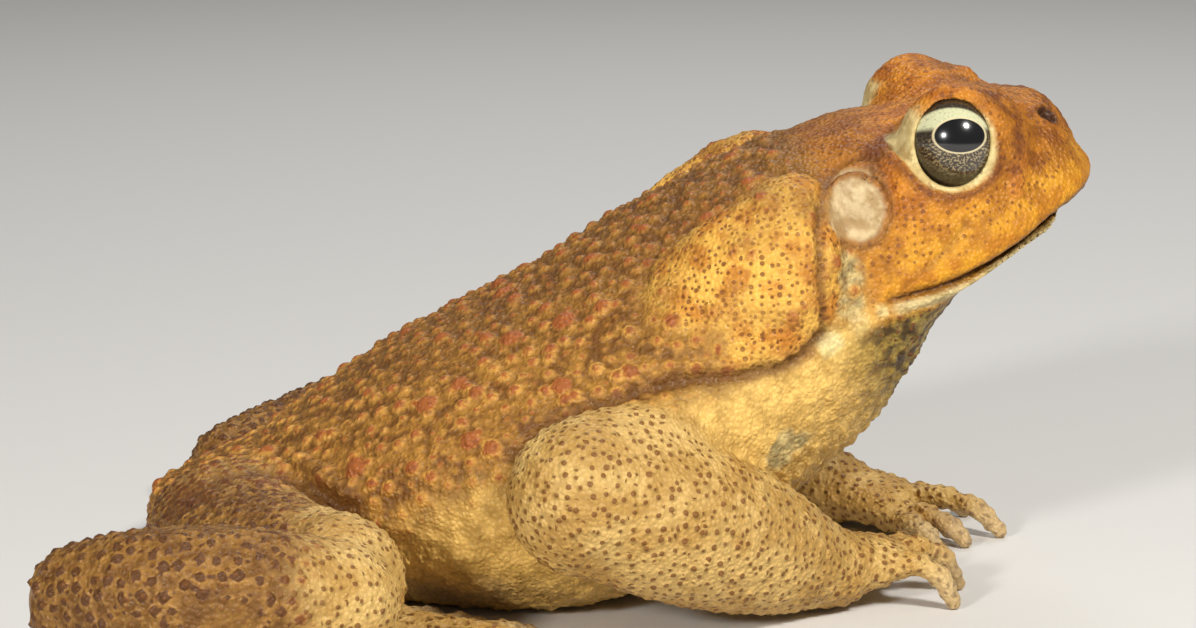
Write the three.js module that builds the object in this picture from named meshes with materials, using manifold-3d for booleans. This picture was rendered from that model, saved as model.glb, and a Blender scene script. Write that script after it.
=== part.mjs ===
// A cane toad at life size, sitting up on its forelegs with its hind legs folded.
// Millimetres: +X the way it faces, +Y to its left, +Z up, resting on z = 0.
import * as THREE from "three";
import { mergeVertices } from "three/addons/utils/BufferGeometryUtils.js";
import Module from "manifold-3d";

const wasm = await Module();
wasm.setup();

// Driving dimensions
const PITCH = THREE.MathUtils.degToRad(24); // the spine climbs this much towards the snout
const SPINE_HEIGHT = 30; // height of the spine line's zero above the ground
const REAR = -62.7; // end of the rump along the spine line
const FRONT = 67.5; // tip of the snout: snout to vent is 130
const REAR_ROUND = 9; // length over which the rump closes
const FRONT_ROUND = 7.5; // length over which the snout closes
const NECK = 31; // where the head is parted from the trunk
const WAIST = -26; // where the hindquarters are parted from the trunk
const GAPE_CORNER = { along: 35.5, up: -5.4 };
const GAPE_SLOPE = -0.04; // the mouth line falls this much for each millimetre forward
const GAP = 0.3; // room between neighbouring pieces
const CUT = 0.4; // thickness of the cuts that part one form into pieces
const EYE = { along: 51.2, side: 14.6, up: 8.4, radius: 6.4 };
const ORBIT = { along: 50.2, side: 11.8, up: 7.2, long: 10.6, wide: 8.6, high: 8.6 };
const EYE_OPENING = { side: 19.6, long: 5.9, wide: 3.6, high: 5.5 };
const EARDRUM = { along: 36.4, side: 21.2, up: 7, long: 3.5, thick: 2.2, high: 4.1, turn: -0.2 };
const GLAND = { along: 19.2, side: 22.6, up: 3.6, long: 16.2, thick: 7.4, high: 11.2, climb: 0.38, lean: 0.42 };
const NOSTRIL = { along: 65.4, side: 6, up: 4.8, radius: 0.9 };
const CREST_RADIUS = 1.5;
const FINGER_RADIUS = 1.75;
const TOE_RADIUS = 1.8;
const WEB_THICKNESS = 0.9;
const SLIVER = 0.03; // details smaller than this are merged away

// Profiles of head and trunk, each a list of [distance along the spine line, value]
const topOf = through([[REAR, 10.4], [-45, 9.4], [-22, 12.1], [-5, 12.9], [10, 14.9], [22, 16.4], [34, 15.2], [45, 12.6],
  [57, 10.4], [FRONT, 7.8]]);
const bottomOf = through([[REAR, -2], [-48, -9.5], [-38, -17.4], [-22, -25.8], [-12, -29], [-4, -29.8], [8, -28.6],
  [19, -27], [28, -24.4], [38, -18.8], [46, -14.8], [56, -11.4], [FRONT, -8.4]]);
const middleOf = through([[REAR, 3], [-40, -2], [-10, -9], [10, -8], [30, -6], [45, -5.5], [FRONT, -4]]);
const halfWidthOf = through([[REAR, 10.5], [-47, 18], [-30, 29.5], [-12, 35], [5, 34], [19, 29.5], [31, 26], [42, 24],
  [52, 20.8], [60, 15.6], [FRONT, 11.5]]);
const sagOf = through([[REAR, 1], [-38, 0.8], [-20, 0.7], [-5, 0.84], [12, 1], [FRONT, 1]]); // under 1: flat-bellied

// Limbs: joints as [x, y, z, half width, half height]
const RIGHT_UPPER_ARM = [[10, -18, 24.6, 9.5, 9.8], [3, -29, 22.6, 9.6, 10], [-5.2, -36.5, 19.2, 8.6, 9]];
const RIGHT_FOREARM = [[-4.6, -37, 18.4, 8.6, 8.8], [7, -33.8, 14.6, 9, 10], [18, -28.4, 9.6, 7.4, 8.2],
  [27, -22.8, 5.4, 5, 4.6]];
const RIGHT_HAND = [[27.5, -22.4, 5.6, 4.9, 4.2], [33.5, -19, 5.6, 5.6, 2.9]];
const RIGHT_THIGH = [[-47, -12, 12, 12, 9.5], [-43.5, -29, 10.4, 10.5, 8.2], [-35, -43, 10.4, 8.2, 8.2]];
const RIGHT_SHANK = [[-35, -49.5, 9.6, 7.2, 7.4], [-46, -52.5, 10.4, 7.8, 8.2], [-56, -51.5, 10.4, 7.5, 7.8],
  [-64.6, -46.5, 9, 6.2, 6.4]];
const RIGHT_FOOT = [[-64.6, -44, 4.7, 4.6, 5], [-50, -40.5, 3.8, 4.2, 4.1], [-38, -38.5, 2.9, 6.2, 3.2],
  [-31.3, -38, 2.2, 7.2, 2.5]];
const LEFT_UPPER_ARM = [[12, 18, 24.6, 9.5, 9.8], [7, 29, 22.6, 9.6, 10], [-0.5, 37, 19.2, 8.6, 9]];
const LEFT_FOREARM = [[0, 37.5, 18.4, 8.6, 8.8], [12.5, 34.2, 14.6, 9, 10], [24, 28.4, 9.6, 7.4, 8.2],
  [33.5, 22, 5.4, 5, 4.6]];
const LEFT_HAND = [[34, 21.8, 4.9, 4.9, 4.2], [41, 17.6, 3.9, 6.2, 3.2]];
const LEFT_THIGH = [[-43, 12, 11, 12, 8], [-33.5, 28, 9, 10.5, 7.6], [-21, 41, 9.6, 8.2, 8]];
const LEFT_SHANK = [[-19.5, 46, 9.4, 7.2, 7.4], [-30, 48.5, 8.8, 7.8, 7.6], [-40, 45.5, 6.9, 7.2, 6.5],
  [-48, 38.5, 5.8, 5.8, 5.6]];
const LEFT_FOOT = [[-47.5, 36, 4.4, 4.6, 4.7], [-33.5, 35, 3.8, 4.2, 4.1], [-21.5, 35.5, 2.9, 6.2, 3.2],
  [-14.8, 36.5, 2.2, 7.2, 2.5]];

// Fingers and toes from the inner side outwards: [heading in degrees, length, root offset inwards, knuckle height]
const RIGHT_FINGERS = [[72, 12, 4.2, 4.4], [46, 13, 2, 5.4], [22, 12.5, -0.8, 6.4], [-8, 9.5, -3.8, 5.8]];
const LEFT_FINGERS = [[66, 11, 4.4, 2.8], [46, 13, 2.2, 3.4], [27, 16.5, -0.8, 5], [-4, 12, -4.4, 3.6]];
const TOES = [[30, 11, 6, 1.9], [16, 15, 3.6, 2], [6, 21, 0.9, 2.2], [-3, 30, -2.2, 2.4], [-17, 20, -5.2, 2.2]];
const WEB_REACH = [9, 12, 14, 12]; // how far the web runs out between neighbouring toes

const FINISHES = {
  back: new THREE.MeshStandardMaterial({ color: 0xa9793d, roughness: 0.62, metalness: 0 }),
  limb: new THREE.MeshStandardMaterial({ color: 0xb28c55, roughness: 0.62, metalness: 0 }),
  belly: new THREE.MeshStandardMaterial({ color: 0xd9bd77, roughness: 0.65, metalness: 0 }),
  gland: new THREE.MeshStandardMaterial({ color: 0xcf8f3c, roughness: 0.55, metalness: 0 }),
  eardrum: new THREE.MeshStandardMaterial({ color: 0xc2a888, roughness: 0.6, metalness: 0 }),
  eye: new THREE.MeshStandardMaterial({ color: 0x17130d, roughness: 0.08, metalness: 0 }),
};

// A smooth curve of one variable through [position, value] stops, cubic between them.
function through(stops) {
  const slope = stops.map((stop, i) => {
    const before = stops[Math.max(i - 1, 0)];
    const after = stops[Math.min(i + 1, stops.length - 1)];
    return (after[1] - before[1]) / (after[0] - before[0]);
  });
  return (x) => {
    const next = stops.findIndex((stop) => stop[0] > x);
    const k = next < 0 ? stops.length - 2 : Math.max(next - 1, 0);
    const [x0, y0] = stops[k];
    const [x1, y1] = stops[k + 1];
    const h = x1 - x0;
    const t = THREE.MathUtils.clamp((x - x0) / h, 0, 1);
    const t2 = t * t;
    const t3 = t2 * t;
    return (2 * t3 - 3 * t2 + 1) * y0 + (t3 - 2 * t2 + t) * h * slope[k] + (3 * t2 - 2 * t3) * y1 +
      (t3 - t2) * h * slope[k + 1];
  };
}

// The point at a distance along the spine line, out to a side, and up square to the line.
function spinePoint(along, side, up) {
  return new THREE.Vector3(
    along * Math.cos(PITCH) - up * Math.sin(PITCH),
    side,
    SPINE_HEIGHT + along * Math.sin(PITCH) + up * Math.cos(PITCH),
  );
}

// A closed geometry as a solid that booleans can use.
function solidOf(geometry) {
  const bare = new THREE.BufferGeometry();
  bare.setAttribute("position", geometry.getAttribute("position"));
  bare.setIndex(geometry.index);
  const merged = mergeVertices(bare, 1e-4);
  const corners = Float32Array.from(merged.attributes.position.array);
  const faces = Uint32Array.from(merged.index.array);
  const build = () => new wasm.Manifold(new wasm.Mesh({ numProp: 3, vertProperties: corners, triVerts: faces }));
  let solid = build();
  if (solid.volume() < 0) {
    for (let i = 0; i < faces.length; i += 3) [faces[i], faces[i + 1]] = [faces[i + 1], faces[i]];
    solid = build();
  }
  return solid;
}

// A sphere geometry reshaped: place(ring, turn) gives each vertex from its ring number and its angle round.
function reshapedSphere(around, rings, place) {
  const sphere = new THREE.SphereGeometry(1, around, rings);
  const position = sphere.getAttribute("position");
  for (let i = 0; i < position.count; i++) {
    const ring = Math.round((Math.acos(THREE.MathUtils.clamp(position.getY(i), -1, 1)) / Math.PI) * rings);
    const turn = Math.atan2(position.getZ(i), position.getX(i));
    const p = place(ring, ring === 0 || ring === rings ? 0 : turn);
    position.setXYZ(i, p.x, p.y, p.z);
  }
  return solidOf(sphere);
}

// Head and trunk as one form: an egg-shaped section whose sizes follow the profiles along the spine line.
function bodyForm(grow) {
  const around = 26;
  const rings = 26;
  return reshapedSphere(around, rings, (ring, turn) => {
    const share = (1 - Math.cos((Math.PI * ring) / rings)) / 2;
    const along = REAR - grow + (FRONT - REAR + 2 * grow) * share;
    const fromRear = Math.min((along - REAR + grow) / REAR_ROUND, 1);
    const fromFront = Math.min((FRONT + grow - along) / FRONT_ROUND, 1);
    const closing = Math.sqrt(1 - (1 - fromRear) ** 2) * Math.sqrt(1 - (1 - fromFront) ** 2);
    const middle = middleOf(along);
    const above = Math.sin(turn) > 0;
    const rise = above ? topOf(along) - middle : middle - bottomOf(along);
    const roundness = above ? 1 : sagOf(along);
    const out = Math.sign(Math.cos(turn)) * Math.abs(Math.cos(turn)) ** roundness;
    const up = Math.sign(Math.sin(turn)) * Math.abs(Math.sin(turn)) ** roundness;
    return spinePoint(
      along,
      out * (halfWidthOf(along) + grow) * closing,
      middle + up * (rise + grow) * closing,
    );
  });
}

// A bent tapered limb with round ends, its joints as [x, y, z, half width, half height].
function limbForm(joints, grow, around = 10, middleRings = 5, capRings = 2) {
  const curve = new THREE.CatmullRomCurve3(joints.map((j) => new THREE.Vector3(j[0], j[1], j[2])), false, "centripetal");
  const sizeAt = [3, 4].map((k) => through(joints.map((j, i) => [i / (joints.length - 1), j[k] + grow])));
  const rings = middleRings + 2 * capRings;
  return reshapedSphere(around, rings, (ring, turn) => {
    const t = THREE.MathUtils.clamp((ring - capRings) / middleRings, 0, 1);
    const forward = curve.getTangent(t);
    const across = new THREE.Vector3(0, 0, 1).cross(forward).normalize();
    const above = forward.clone().cross(across);
    const [wide, high] = sizeAt.map((size) => size(t));
    const over = ring < capRings ? ring - capRings : Math.max(ring - capRings - middleRings, 0);
    const capAngle = (Math.abs(over) / capRings) * (Math.PI / 2);
    return curve
      .getPoint(t)
      .addScaledVector(forward, Math.sign(over) * Math.sin(capAngle) * Math.min(wide, high))
      .addScaledVector(across, Math.cos(turn) * wide * Math.cos(capAngle))
      .addScaledVector(above, Math.sin(turn) * high * Math.cos(capAngle));
  });
}

// An ellipsoid set in the body: half sizes along the spine, outwards and upwards, tipped by climb, lean and turn.
function pad(spot, hand, size, grow, { climb = 0, lean = 0, turn = 0, around = 14, rings = 9 } = {}) {
  const centre = spinePoint(spot.along, hand * spot.side, spot.up);
  const tip = new THREE.Euler(hand * lean, -PITCH - climb, -hand * turn, "YXZ");
  return reshapedSphere(around, rings, (ring, angle) => {
    const polar = (Math.PI * ring) / rings;
    const point = new THREE.Vector3(
      Math.sin(polar) * Math.cos(angle) * (size[0] + grow),
      Math.cos(polar) * (size[1] + grow),
      Math.sin(polar) * Math.sin(angle) * (size[2] + grow),
    );
    return point.applyEuler(tip).add(centre);
  });
}

// A box in the spine line's frame, from one corner to the other.
function spineBox(low, high, tilt = 0) {
  const box = new THREE.BoxGeometry(high[0] - low[0], high[1] - low[1], high[2] - low[2]);
  box.translate(...[0, 1, 2].map((k) => (low[k] + high[k]) / 2));
  box.rotateY(-tilt);
  const position = box.getAttribute("position");
  for (let i = 0; i < position.count; i++) {
    const p = spinePoint(position.getX(i), position.getY(i), position.getZ(i));
    position.setXYZ(i, p.x, p.y, p.z);
  }
  return solidOf(box);
}

const ground = solidOf(new THREE.BoxGeometry(400, 400, 60).translate(0, 0, -30));

// The largest body of a solid, cut flat where it meets the ground and rid of slivers.
function settled(solid) {
  const bodies = solid.subtract(ground).asOriginal().simplify(SLIVER).decompose();
  return bodies.reduce((best, body) => (body.volume() > best.volume() ? body : best));
}

const toad = new THREE.Group();
const made = []; // what later pieces keep clear of: { wide }

function clearOf(solid, others) {
  return others.reduce((left, other) => left.subtract(other), solid);
}

function addNode(name, solid, finish) {
  const mesh = settled(solid).getMesh();
  const geometry = new THREE.BufferGeometry();
  geometry.setAttribute("position", new THREE.BufferAttribute(mesh.vertProperties, 3));
  geometry.setIndex(new THREE.BufferAttribute(mesh.triVerts, 1));
  const node = new THREE.Mesh(geometry, FINISHES[finish]);
  node.name = name;
  toad.add(node);
}

// Adds a piece that keeps clear of all the pieces added before it.
function addPiece(name, form, finish) {
  addNode(name, clearOf(form(0), made), finish);
  made.push(form(GAP));
}

const SIDES = [
  {
    word: "right", hand: -1, arm: RIGHT_UPPER_ARM, forearm: RIGHT_FOREARM, palm: RIGHT_HAND, fingers: RIGHT_FINGERS,
    thigh: RIGHT_THIGH, shank: RIGHT_SHANK, sole: RIGHT_FOOT,
  },
  {
    word: "left", hand: 1, arm: LEFT_UPPER_ARM, forearm: LEFT_FOREARM, palm: LEFT_HAND, fingers: LEFT_FINGERS,
    thigh: LEFT_THIGH, shank: LEFT_SHANK, sole: LEFT_FOOT,
  },
];

// The bony ridge from the nostril over the eye to the eardrum.
function crestForm(hand, grow) {
  const route = [[61.5, 7.4, 7.6], [58, 9.8, 10.2], [52, 12.2, 13.6], [43, 13.4, 14.2], [38.5, 19.4, 10.6]];
  const joints = route.map(([along, side, up]) => {
    const p = spinePoint(along, hand * side, up);
    return [p.x, p.y, p.z, CREST_RADIUS, CREST_RADIUS];
  });
  return limbForm(joints, grow, 6, 6, 1);
}

// Eyes and eardrums, which the head and the lids are hollowed for
const eyeForm = (hand, grow) => pad(EYE, hand, [EYE.radius, EYE.radius, EYE.radius], grow);
const eardrumForm = (hand, grow) =>
  pad(EARDRUM, hand, [EARDRUM.long, EARDRUM.thick, EARDRUM.high], grow, { turn: EARDRUM.turn, around: 12, rings: 6 });
for (const { word, hand } of SIDES) {
  addPiece("eye_" + word, (grow) => eyeForm(hand, grow), "eye");
  addPiece("eardrum_" + word, (grow) => eardrumForm(hand, grow), "eardrum");
}

// Head and trunk, then the cuts that part them
const sockets = [...made];
function coreForm(grow) {
  return SIDES.reduce((core, { hand }) => core.add(crestForm(hand, grow)), bodyForm(grow));
}
const nostrils = SIDES.map(({ hand }) =>
  pad(NOSTRIL, hand, [NOSTRIL.radius, NOSTRIL.radius * 1.6, NOSTRIL.radius], 0, { around: 8, rings: 6 }));
const core = clearOf(coreForm(0), [...sockets, ...nostrils]);
const far = 120;
const gapeTilt = Math.atan(GAPE_SLOPE);
const gapeLevel = GAPE_CORNER.up - GAPE_CORNER.along * GAPE_SLOPE;
const aheadOfNeck = spineBox([NECK + CUT / 2, -far, -far], [far, far, far]);
const aboveGape = spineBox([-far, -far, gapeLevel + CUT / 2], [far, far, far], gapeTilt);
const belowGape = spineBox([-far, -far, -far], [far, far, gapeLevel - CUT / 2], gapeTilt);
addNode("head", core.intersect(aheadOfNeck).intersect(aboveGape), "back");
addNode("lower_jaw", core.intersect(aheadOfNeck).intersect(belowGape), "belly");
addNode("trunk", core.intersect(spineBox([WAIST + CUT / 2, -far, -far], [NECK - CUT / 2, far, far])), "back");
addNode("hindquarters", core.intersect(spineBox([-far, -far, -far], [WAIST - CUT / 2, far, far])), "back");
made.push(coreForm(GAP));

for (const { word, hand } of SIDES) {
  const opening = pad({ ...EYE, side: EYE_OPENING.side }, hand,
    [EYE_OPENING.long, EYE_OPENING.wide, EYE_OPENING.high], 0, { around: 12, rings: 8 });
  const lid = (grow) => pad(ORBIT, hand, [ORBIT.long, ORBIT.wide, ORBIT.high], grow);
  addNode("eyelid_" + word, clearOf(lid(0), [opening, ...made]), "back");
  made.push(lid(GAP));
  addPiece("parotoid_gland_" + word,
    (grow) => pad(GLAND, hand, [GLAND.long, GLAND.thick, GLAND.high], grow, { climb: GLAND.climb, lean: GLAND.lean }),
    "gland");
}

// A finger or toe as limb joints: out along its heading, over the knuckle and down to the tip.
function digitJoints(root, hand, [heading, length, offset, knuckle], radius) {
  const turn = THREE.MathUtils.degToRad(-hand * heading);
  const out = new THREE.Vector2(Math.cos(turn), Math.sin(turn));
  const start = new THREE.Vector2(root[0], root[1] - hand * offset);
  const spot = (share, height, size) => {
    const p = out.clone().multiplyScalar(length * share).add(start);
    return [p.x, p.y, height, size, size * 0.9];
  };
  return [
    spot(0, Math.max(knuckle * 0.8, radius * 0.9), radius * 1.1),
    spot(0.5, knuckle, radius),
    spot(0.8, knuckle * 0.75, radius * 0.9),
    spot(1, radius * 0.52, radius * 0.75),
  ];
}

// The web of a hind foot: a scalloped fan between the toes, thin and close to the ground.
function webForm(root, hand) {
  const reach = (toe, distance) => {
    const turn = THREE.MathUtils.degToRad(-hand * toe[0]);
    return new THREE.Vector2(root[0] + Math.cos(turn) * distance, root[1] - hand * toe[2] + Math.sin(turn) * distance);
  };
  const fan = new THREE.Shape();
  fan.moveTo(root[0] - 3, root[1] - hand * TOES[0][2]);
  TOES.forEach((toe, i) => {
    const edge = reach(toe, (WEB_REACH[Math.min(i, 3)] + WEB_REACH[Math.max(i - 1, 0)]) / 2 + 2);
    if (i === 0) fan.lineTo(edge.x, edge.y);
    else {
      const between = reach(TOES[i - 1], WEB_REACH[i - 1] - 3).add(reach(toe, WEB_REACH[i - 1] - 3)).multiplyScalar(0.5);
      fan.quadraticCurveTo(between.x, between.y, edge.x, edge.y);
    }
  });
  fan.lineTo(root[0] - 3, root[1] - hand * TOES[4][2]);
  const sheet = new THREE.ExtrudeGeometry(fan, { depth: WEB_THICKNESS, bevelEnabled: false, curveSegments: 5 });
  return solidOf(sheet.translate(0, 0, 0.7));
}

for (const { word, hand, arm, forearm, palm, fingers, thigh, shank, sole } of SIDES) {
  addPiece("upper_arm_" + word, (grow) => limbForm(arm, grow), "limb");
  addPiece("forearm_" + word, (grow) => limbForm(forearm, grow), "limb");
  addPiece("hand_" + word, (grow) => limbForm(palm, grow, 10, 3), "limb");
  fingers.forEach((finger, i) =>
    addPiece("finger_" + (i + 1) + "_" + word,
      (grow) => limbForm(digitJoints(palm[1], hand, finger, FINGER_RADIUS), grow, 6, 3, 2), "limb"));
  addPiece("thigh_" + word, (grow) => limbForm(thigh, grow), "limb");
  addPiece("shank_" + word, (grow) => limbForm(shank, grow), "limb");
  const foot = (grow) => limbForm(sole, grow);
  const toes = TOES.map((toe) => (grow) => limbForm(digitJoints(sole[3], hand, toe, TOE_RADIUS), grow, 6, 3, 2));
  const web = clearOf(webForm(sole[3], hand), toes.map((toe) => toe(GAP)));
  addNode("foot_" + word, clearOf(foot(0).add(web), made), "limb");
  made.push(foot(GAP));
  toes.forEach((toe, i) => addPiece("toe_" + (i + 1) + "_" + word, toe, "limb"));
}

// The origin goes to the middle of the footprint, on the ground.
const footprint = new THREE.Box3().setFromObject(toad);
const middle = footprint.getCenter(new THREE.Vector3());
toad.position.set(-middle.x, -middle.y, -footprint.min.z);

export default toad;
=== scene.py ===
"""A cane toad sitting up, as a still, life-size museum model: its skin, its eyes, and a plain studio."""

import logging
import math
from collections.abc import Callable, Iterable
from dataclasses import dataclass
from enum import Enum
from functools import cached_property

import bmesh
import bpy
import numpy as np
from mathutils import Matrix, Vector

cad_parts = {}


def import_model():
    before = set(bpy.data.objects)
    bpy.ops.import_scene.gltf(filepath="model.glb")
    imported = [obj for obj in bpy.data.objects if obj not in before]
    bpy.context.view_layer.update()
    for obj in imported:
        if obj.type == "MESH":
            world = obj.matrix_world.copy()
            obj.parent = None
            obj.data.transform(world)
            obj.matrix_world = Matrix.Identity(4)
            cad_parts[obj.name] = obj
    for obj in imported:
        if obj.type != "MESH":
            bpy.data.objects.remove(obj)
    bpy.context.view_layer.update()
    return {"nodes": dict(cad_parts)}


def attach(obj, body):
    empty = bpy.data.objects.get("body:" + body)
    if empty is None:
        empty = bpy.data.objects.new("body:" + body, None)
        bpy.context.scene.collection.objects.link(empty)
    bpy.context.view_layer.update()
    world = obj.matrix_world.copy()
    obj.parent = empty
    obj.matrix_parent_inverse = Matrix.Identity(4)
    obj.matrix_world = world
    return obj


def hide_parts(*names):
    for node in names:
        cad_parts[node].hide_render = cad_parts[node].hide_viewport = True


LOG = logging.getLogger("toad")
MM = 0.001
MODEL_ORIGIN = np.array([3.523, 2.210, -0.001])  # its place in the frame, in millimetres
PITCH = math.radians(24.0)
SPINE_HEIGHT = 30.0

Array = np.ndarray
Distance = Callable[[Array], Array]
Joints = tuple[tuple[float, ...], ...]
Spots = tuple[tuple[tuple[float, float, float], float], ...]


class Side(Enum):
    """The animal's own right and left, as the sign of y."""

    RIGHT = -1
    LEFT = 1

    @property
    def word(self) -> str:
        """The side's name as the frame's nodes spell it."""
        return self.name.lower()

    def place(self, spot: tuple[float, float, float]) -> Array:
        """A spot given for the right side, on this side."""
        return np.array(spot, np.float32) * (1, -self.value, 1)


# Shapes as distances from points to a surface in millimetres, less than nought inside it


def length(rows: Array) -> Array:
    """The length of each row."""
    return np.sqrt(np.einsum("ij,ij->i", rows, rows))


def ease(values: Array, low: float, high: float) -> Array:
    """A soft step.

    Args:
        values: any numbers.
        low: where the step starts, at nought.
        high: where it ends, at one.

    Returns:
        3t² − 2t³ of the share t of the way from low to high.
    """
    share = np.clip((values - low) / (high - low), 0.0, 1.0)
    return share * share * (3.0 - 2.0 * share)


def joined(first: Array, second: Array, reach: Array | float) -> Array:
    """Two shapes joined by a fillet: the smaller distance, less a quarter of reach where both are equal."""
    near = np.clip(1.0 - np.abs(first - second) / reach, 0.0, 1.0)
    return np.minimum(first, second) - near * near * reach * 0.25


def carved(shape: Array, tool: Array, reach: Array | float) -> Array:
    """A shape less a tool, with a rounded edge: the greater of its distance and the tool's turned round."""
    return -joined(-shape, tool, reach)


def rounded(offsets: Array, sizes: Array | tuple[float, float, float]) -> Array:
    """Distance to an ellipsoid round the origin.

    Args:
        offsets: points from its centre, along its own axes.
        sizes: its half sizes, the same for all points or one row for each.

    Returns:
        k(k − 1) / g, where k is the length of the offset over the sizes, and g over the sizes squared.
    """
    scaled = offsets / sizes
    share = length(scaled) + 1e-6
    slope = length(scaled / sizes) + 1e-6
    return share * (share - 1.0) / slope


def turned(about_y: float, about_x: float = 0.0, about_z: float = 0.0) -> Array:
    """The matrix that turns about z, then x, then y, in radians. Its columns are the turned axes."""
    cy, sy, cx, sx = math.cos(about_y), math.sin(about_y), math.cos(about_x), math.sin(about_x)
    cz, sz = math.cos(about_z), math.sin(about_z)
    swing = np.array([[cy, 0, sy], [0, 1, 0], [-sy, 0, cy]])
    tilt = np.array([[1, 0, 0], [0, cx, -sx], [0, sx, cx]])
    spin = np.array([[cz, -sz, 0], [sz, cz, 0], [0, 0, 1]])
    return (swing @ tilt @ spin).astype(np.float32)


def to_spine(points: Array) -> tuple[Array, Array, Array]:
    """Points as distances along the sloping spine line, sideways, and up from it."""
    lift = points[:, 2] - SPINE_HEIGHT
    along = points[:, 0] * math.cos(PITCH) + lift * math.sin(PITCH)
    up = lift * math.cos(PITCH) - points[:, 0] * math.sin(PITCH)
    return along, points[:, 1], up


def from_spine(along: float, side: float, up: float) -> Array:
    """The point that lies at these distances from the spine line's start."""
    x = along * math.cos(PITCH) - up * math.sin(PITCH)
    z = SPINE_HEIGHT + along * math.sin(PITCH) + up * math.cos(PITCH)
    return np.array([x, side, z], np.float32)


@dataclass(frozen=True)
class Curve:
    """A smooth line through given values: a cubic between neighbours, sloped at each as the line past it."""

    knots: tuple[tuple[float, float], ...]
    steps: int = 400

    @cached_property
    def table(self) -> tuple[Array, Array]:
        """Evenly spaced places and the curve's values there."""
        places, values = np.array(self.knots, np.float64).T
        slopes = np.empty_like(values)
        slopes[1:-1] = (values[2:] - values[:-2]) / (places[2:] - places[:-2])
        slopes[0] = (values[1] - values[0]) / (places[1] - places[0])
        slopes[-1] = (values[-1] - values[-2]) / (places[-1] - places[-2])
        at = np.linspace(places[0], places[-1], self.steps)
        i = np.clip(np.searchsorted(places, at, side="right") - 1, 0, len(places) - 2)
        gap = places[i + 1] - places[i]
        t = (at - places[i]) / gap
        rise = (3 * t**2 - 2 * t**3) * (values[i + 1] - values[i]) + values[i]
        lean = (t**3 - 2 * t**2 + t) * gap * slopes[i] + (t**3 - t**2) * gap * slopes[i + 1]
        return at, rise + lean

    def __call__(self, places: Array) -> Array:
        """The curve's values at any places, level past its ends."""
        return np.interp(places, *self.table).astype(np.float32)


REAR, FRONT = -62.7, 66.9


@dataclass(frozen=True)
class Body:
    """Trunk, head and jaw: a superellipse along the spine line, wide at the belly, blunt at both ends."""

    top: Curve = Curve((
        (REAR, 7.8), (-56, 7.3), (-45, 7.4), (-34, 9.3), (-22, 11.3), (-5, 12.2), (10, 14.0), (22, 15.2),
        (34, 14.9), (41, 14.3), (47, 12.5), (52, 11.7), (57, 10.9), (60, 9.8), (62.3, 8.5), (64.2, 7.6),
        (66.0, 6.4), (FRONT, 5.6),
    ))
    bottom: Curve = Curve((
        (REAR, -2), (-48, -9.5), (-38, -17.4), (-22, -25.8), (-12, -29), (-4, -29.8), (8, -28.6), (19, -26.2),
        (26, -23.9), (30, -22.0), (35, -18.0), (40, -13.6), (46, -9.9), (52, -8.1), (60, -6.8), (FRONT, -6.1),
    ))
    middle: Curve = Curve((
        (REAR, 3), (-40, -2), (-10, -9), (10, -8), (30, -6), (45, -5.5), (60, -5.4), (FRONT, -5.2),
    ))
    width: Curve = Curve((
        (REAR, 10.5), (-47, 18), (-30, 29.5), (-12, 34.6), (5, 33.4), (19, 29), (31, 25.6), (42, 23.6),
        (52, 20.4), (60, 15.8), (64.5, 12.0), (FRONT, 8.0),
    ))
    sag: Curve = Curve((
        (REAR, 2), (-38, 2.5), (-20, 2.85), (-5, 2.4), (12, 2), (30, 2), (42, 2.4), (FRONT, 2.4),
    ))
    crown: Curve = Curve(((REAR, 2), (20, 2), (30, 2.1), (37, 2.4), (50, 2.6), (60, 2.75), (FRONT, 2.8)))
    blunt: float = 3.4
    round_rear: float = 6.5

    def distance(self, points: Array) -> Array:
        """How far points are from the body without its limbs, glands, eyes or mouth.

        Args:
            points: rows of x, y, z.

        Returns:
            k(k − 1) / g of the section's superellipse, joined at both ends to a plane across the spine.
        """
        along, side, up = to_spine(points)
        middle = self.middle(along)
        lift = up - middle
        rise = np.where(lift > 0, self.top(along) - middle, middle - self.bottom(along))
        power = np.where(lift > 0, self.crown(along), self.sag(along))
        wide = np.abs(side) / self.width(along) + 1e-4
        high = np.abs(lift) / rise + 1e-4
        level, column = wide**2, high**power
        share = np.sqrt(level + column)
        slope = np.hypot(level / wide / self.width(along), 0.5 * power * column / high / rise) + 1e-4
        shell = share * (share - 1.0) / slope
        shell = -joined(-shell, FRONT - along, self.blunt)
        return -joined(-shell, along - REAR, self.round_rear)


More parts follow.
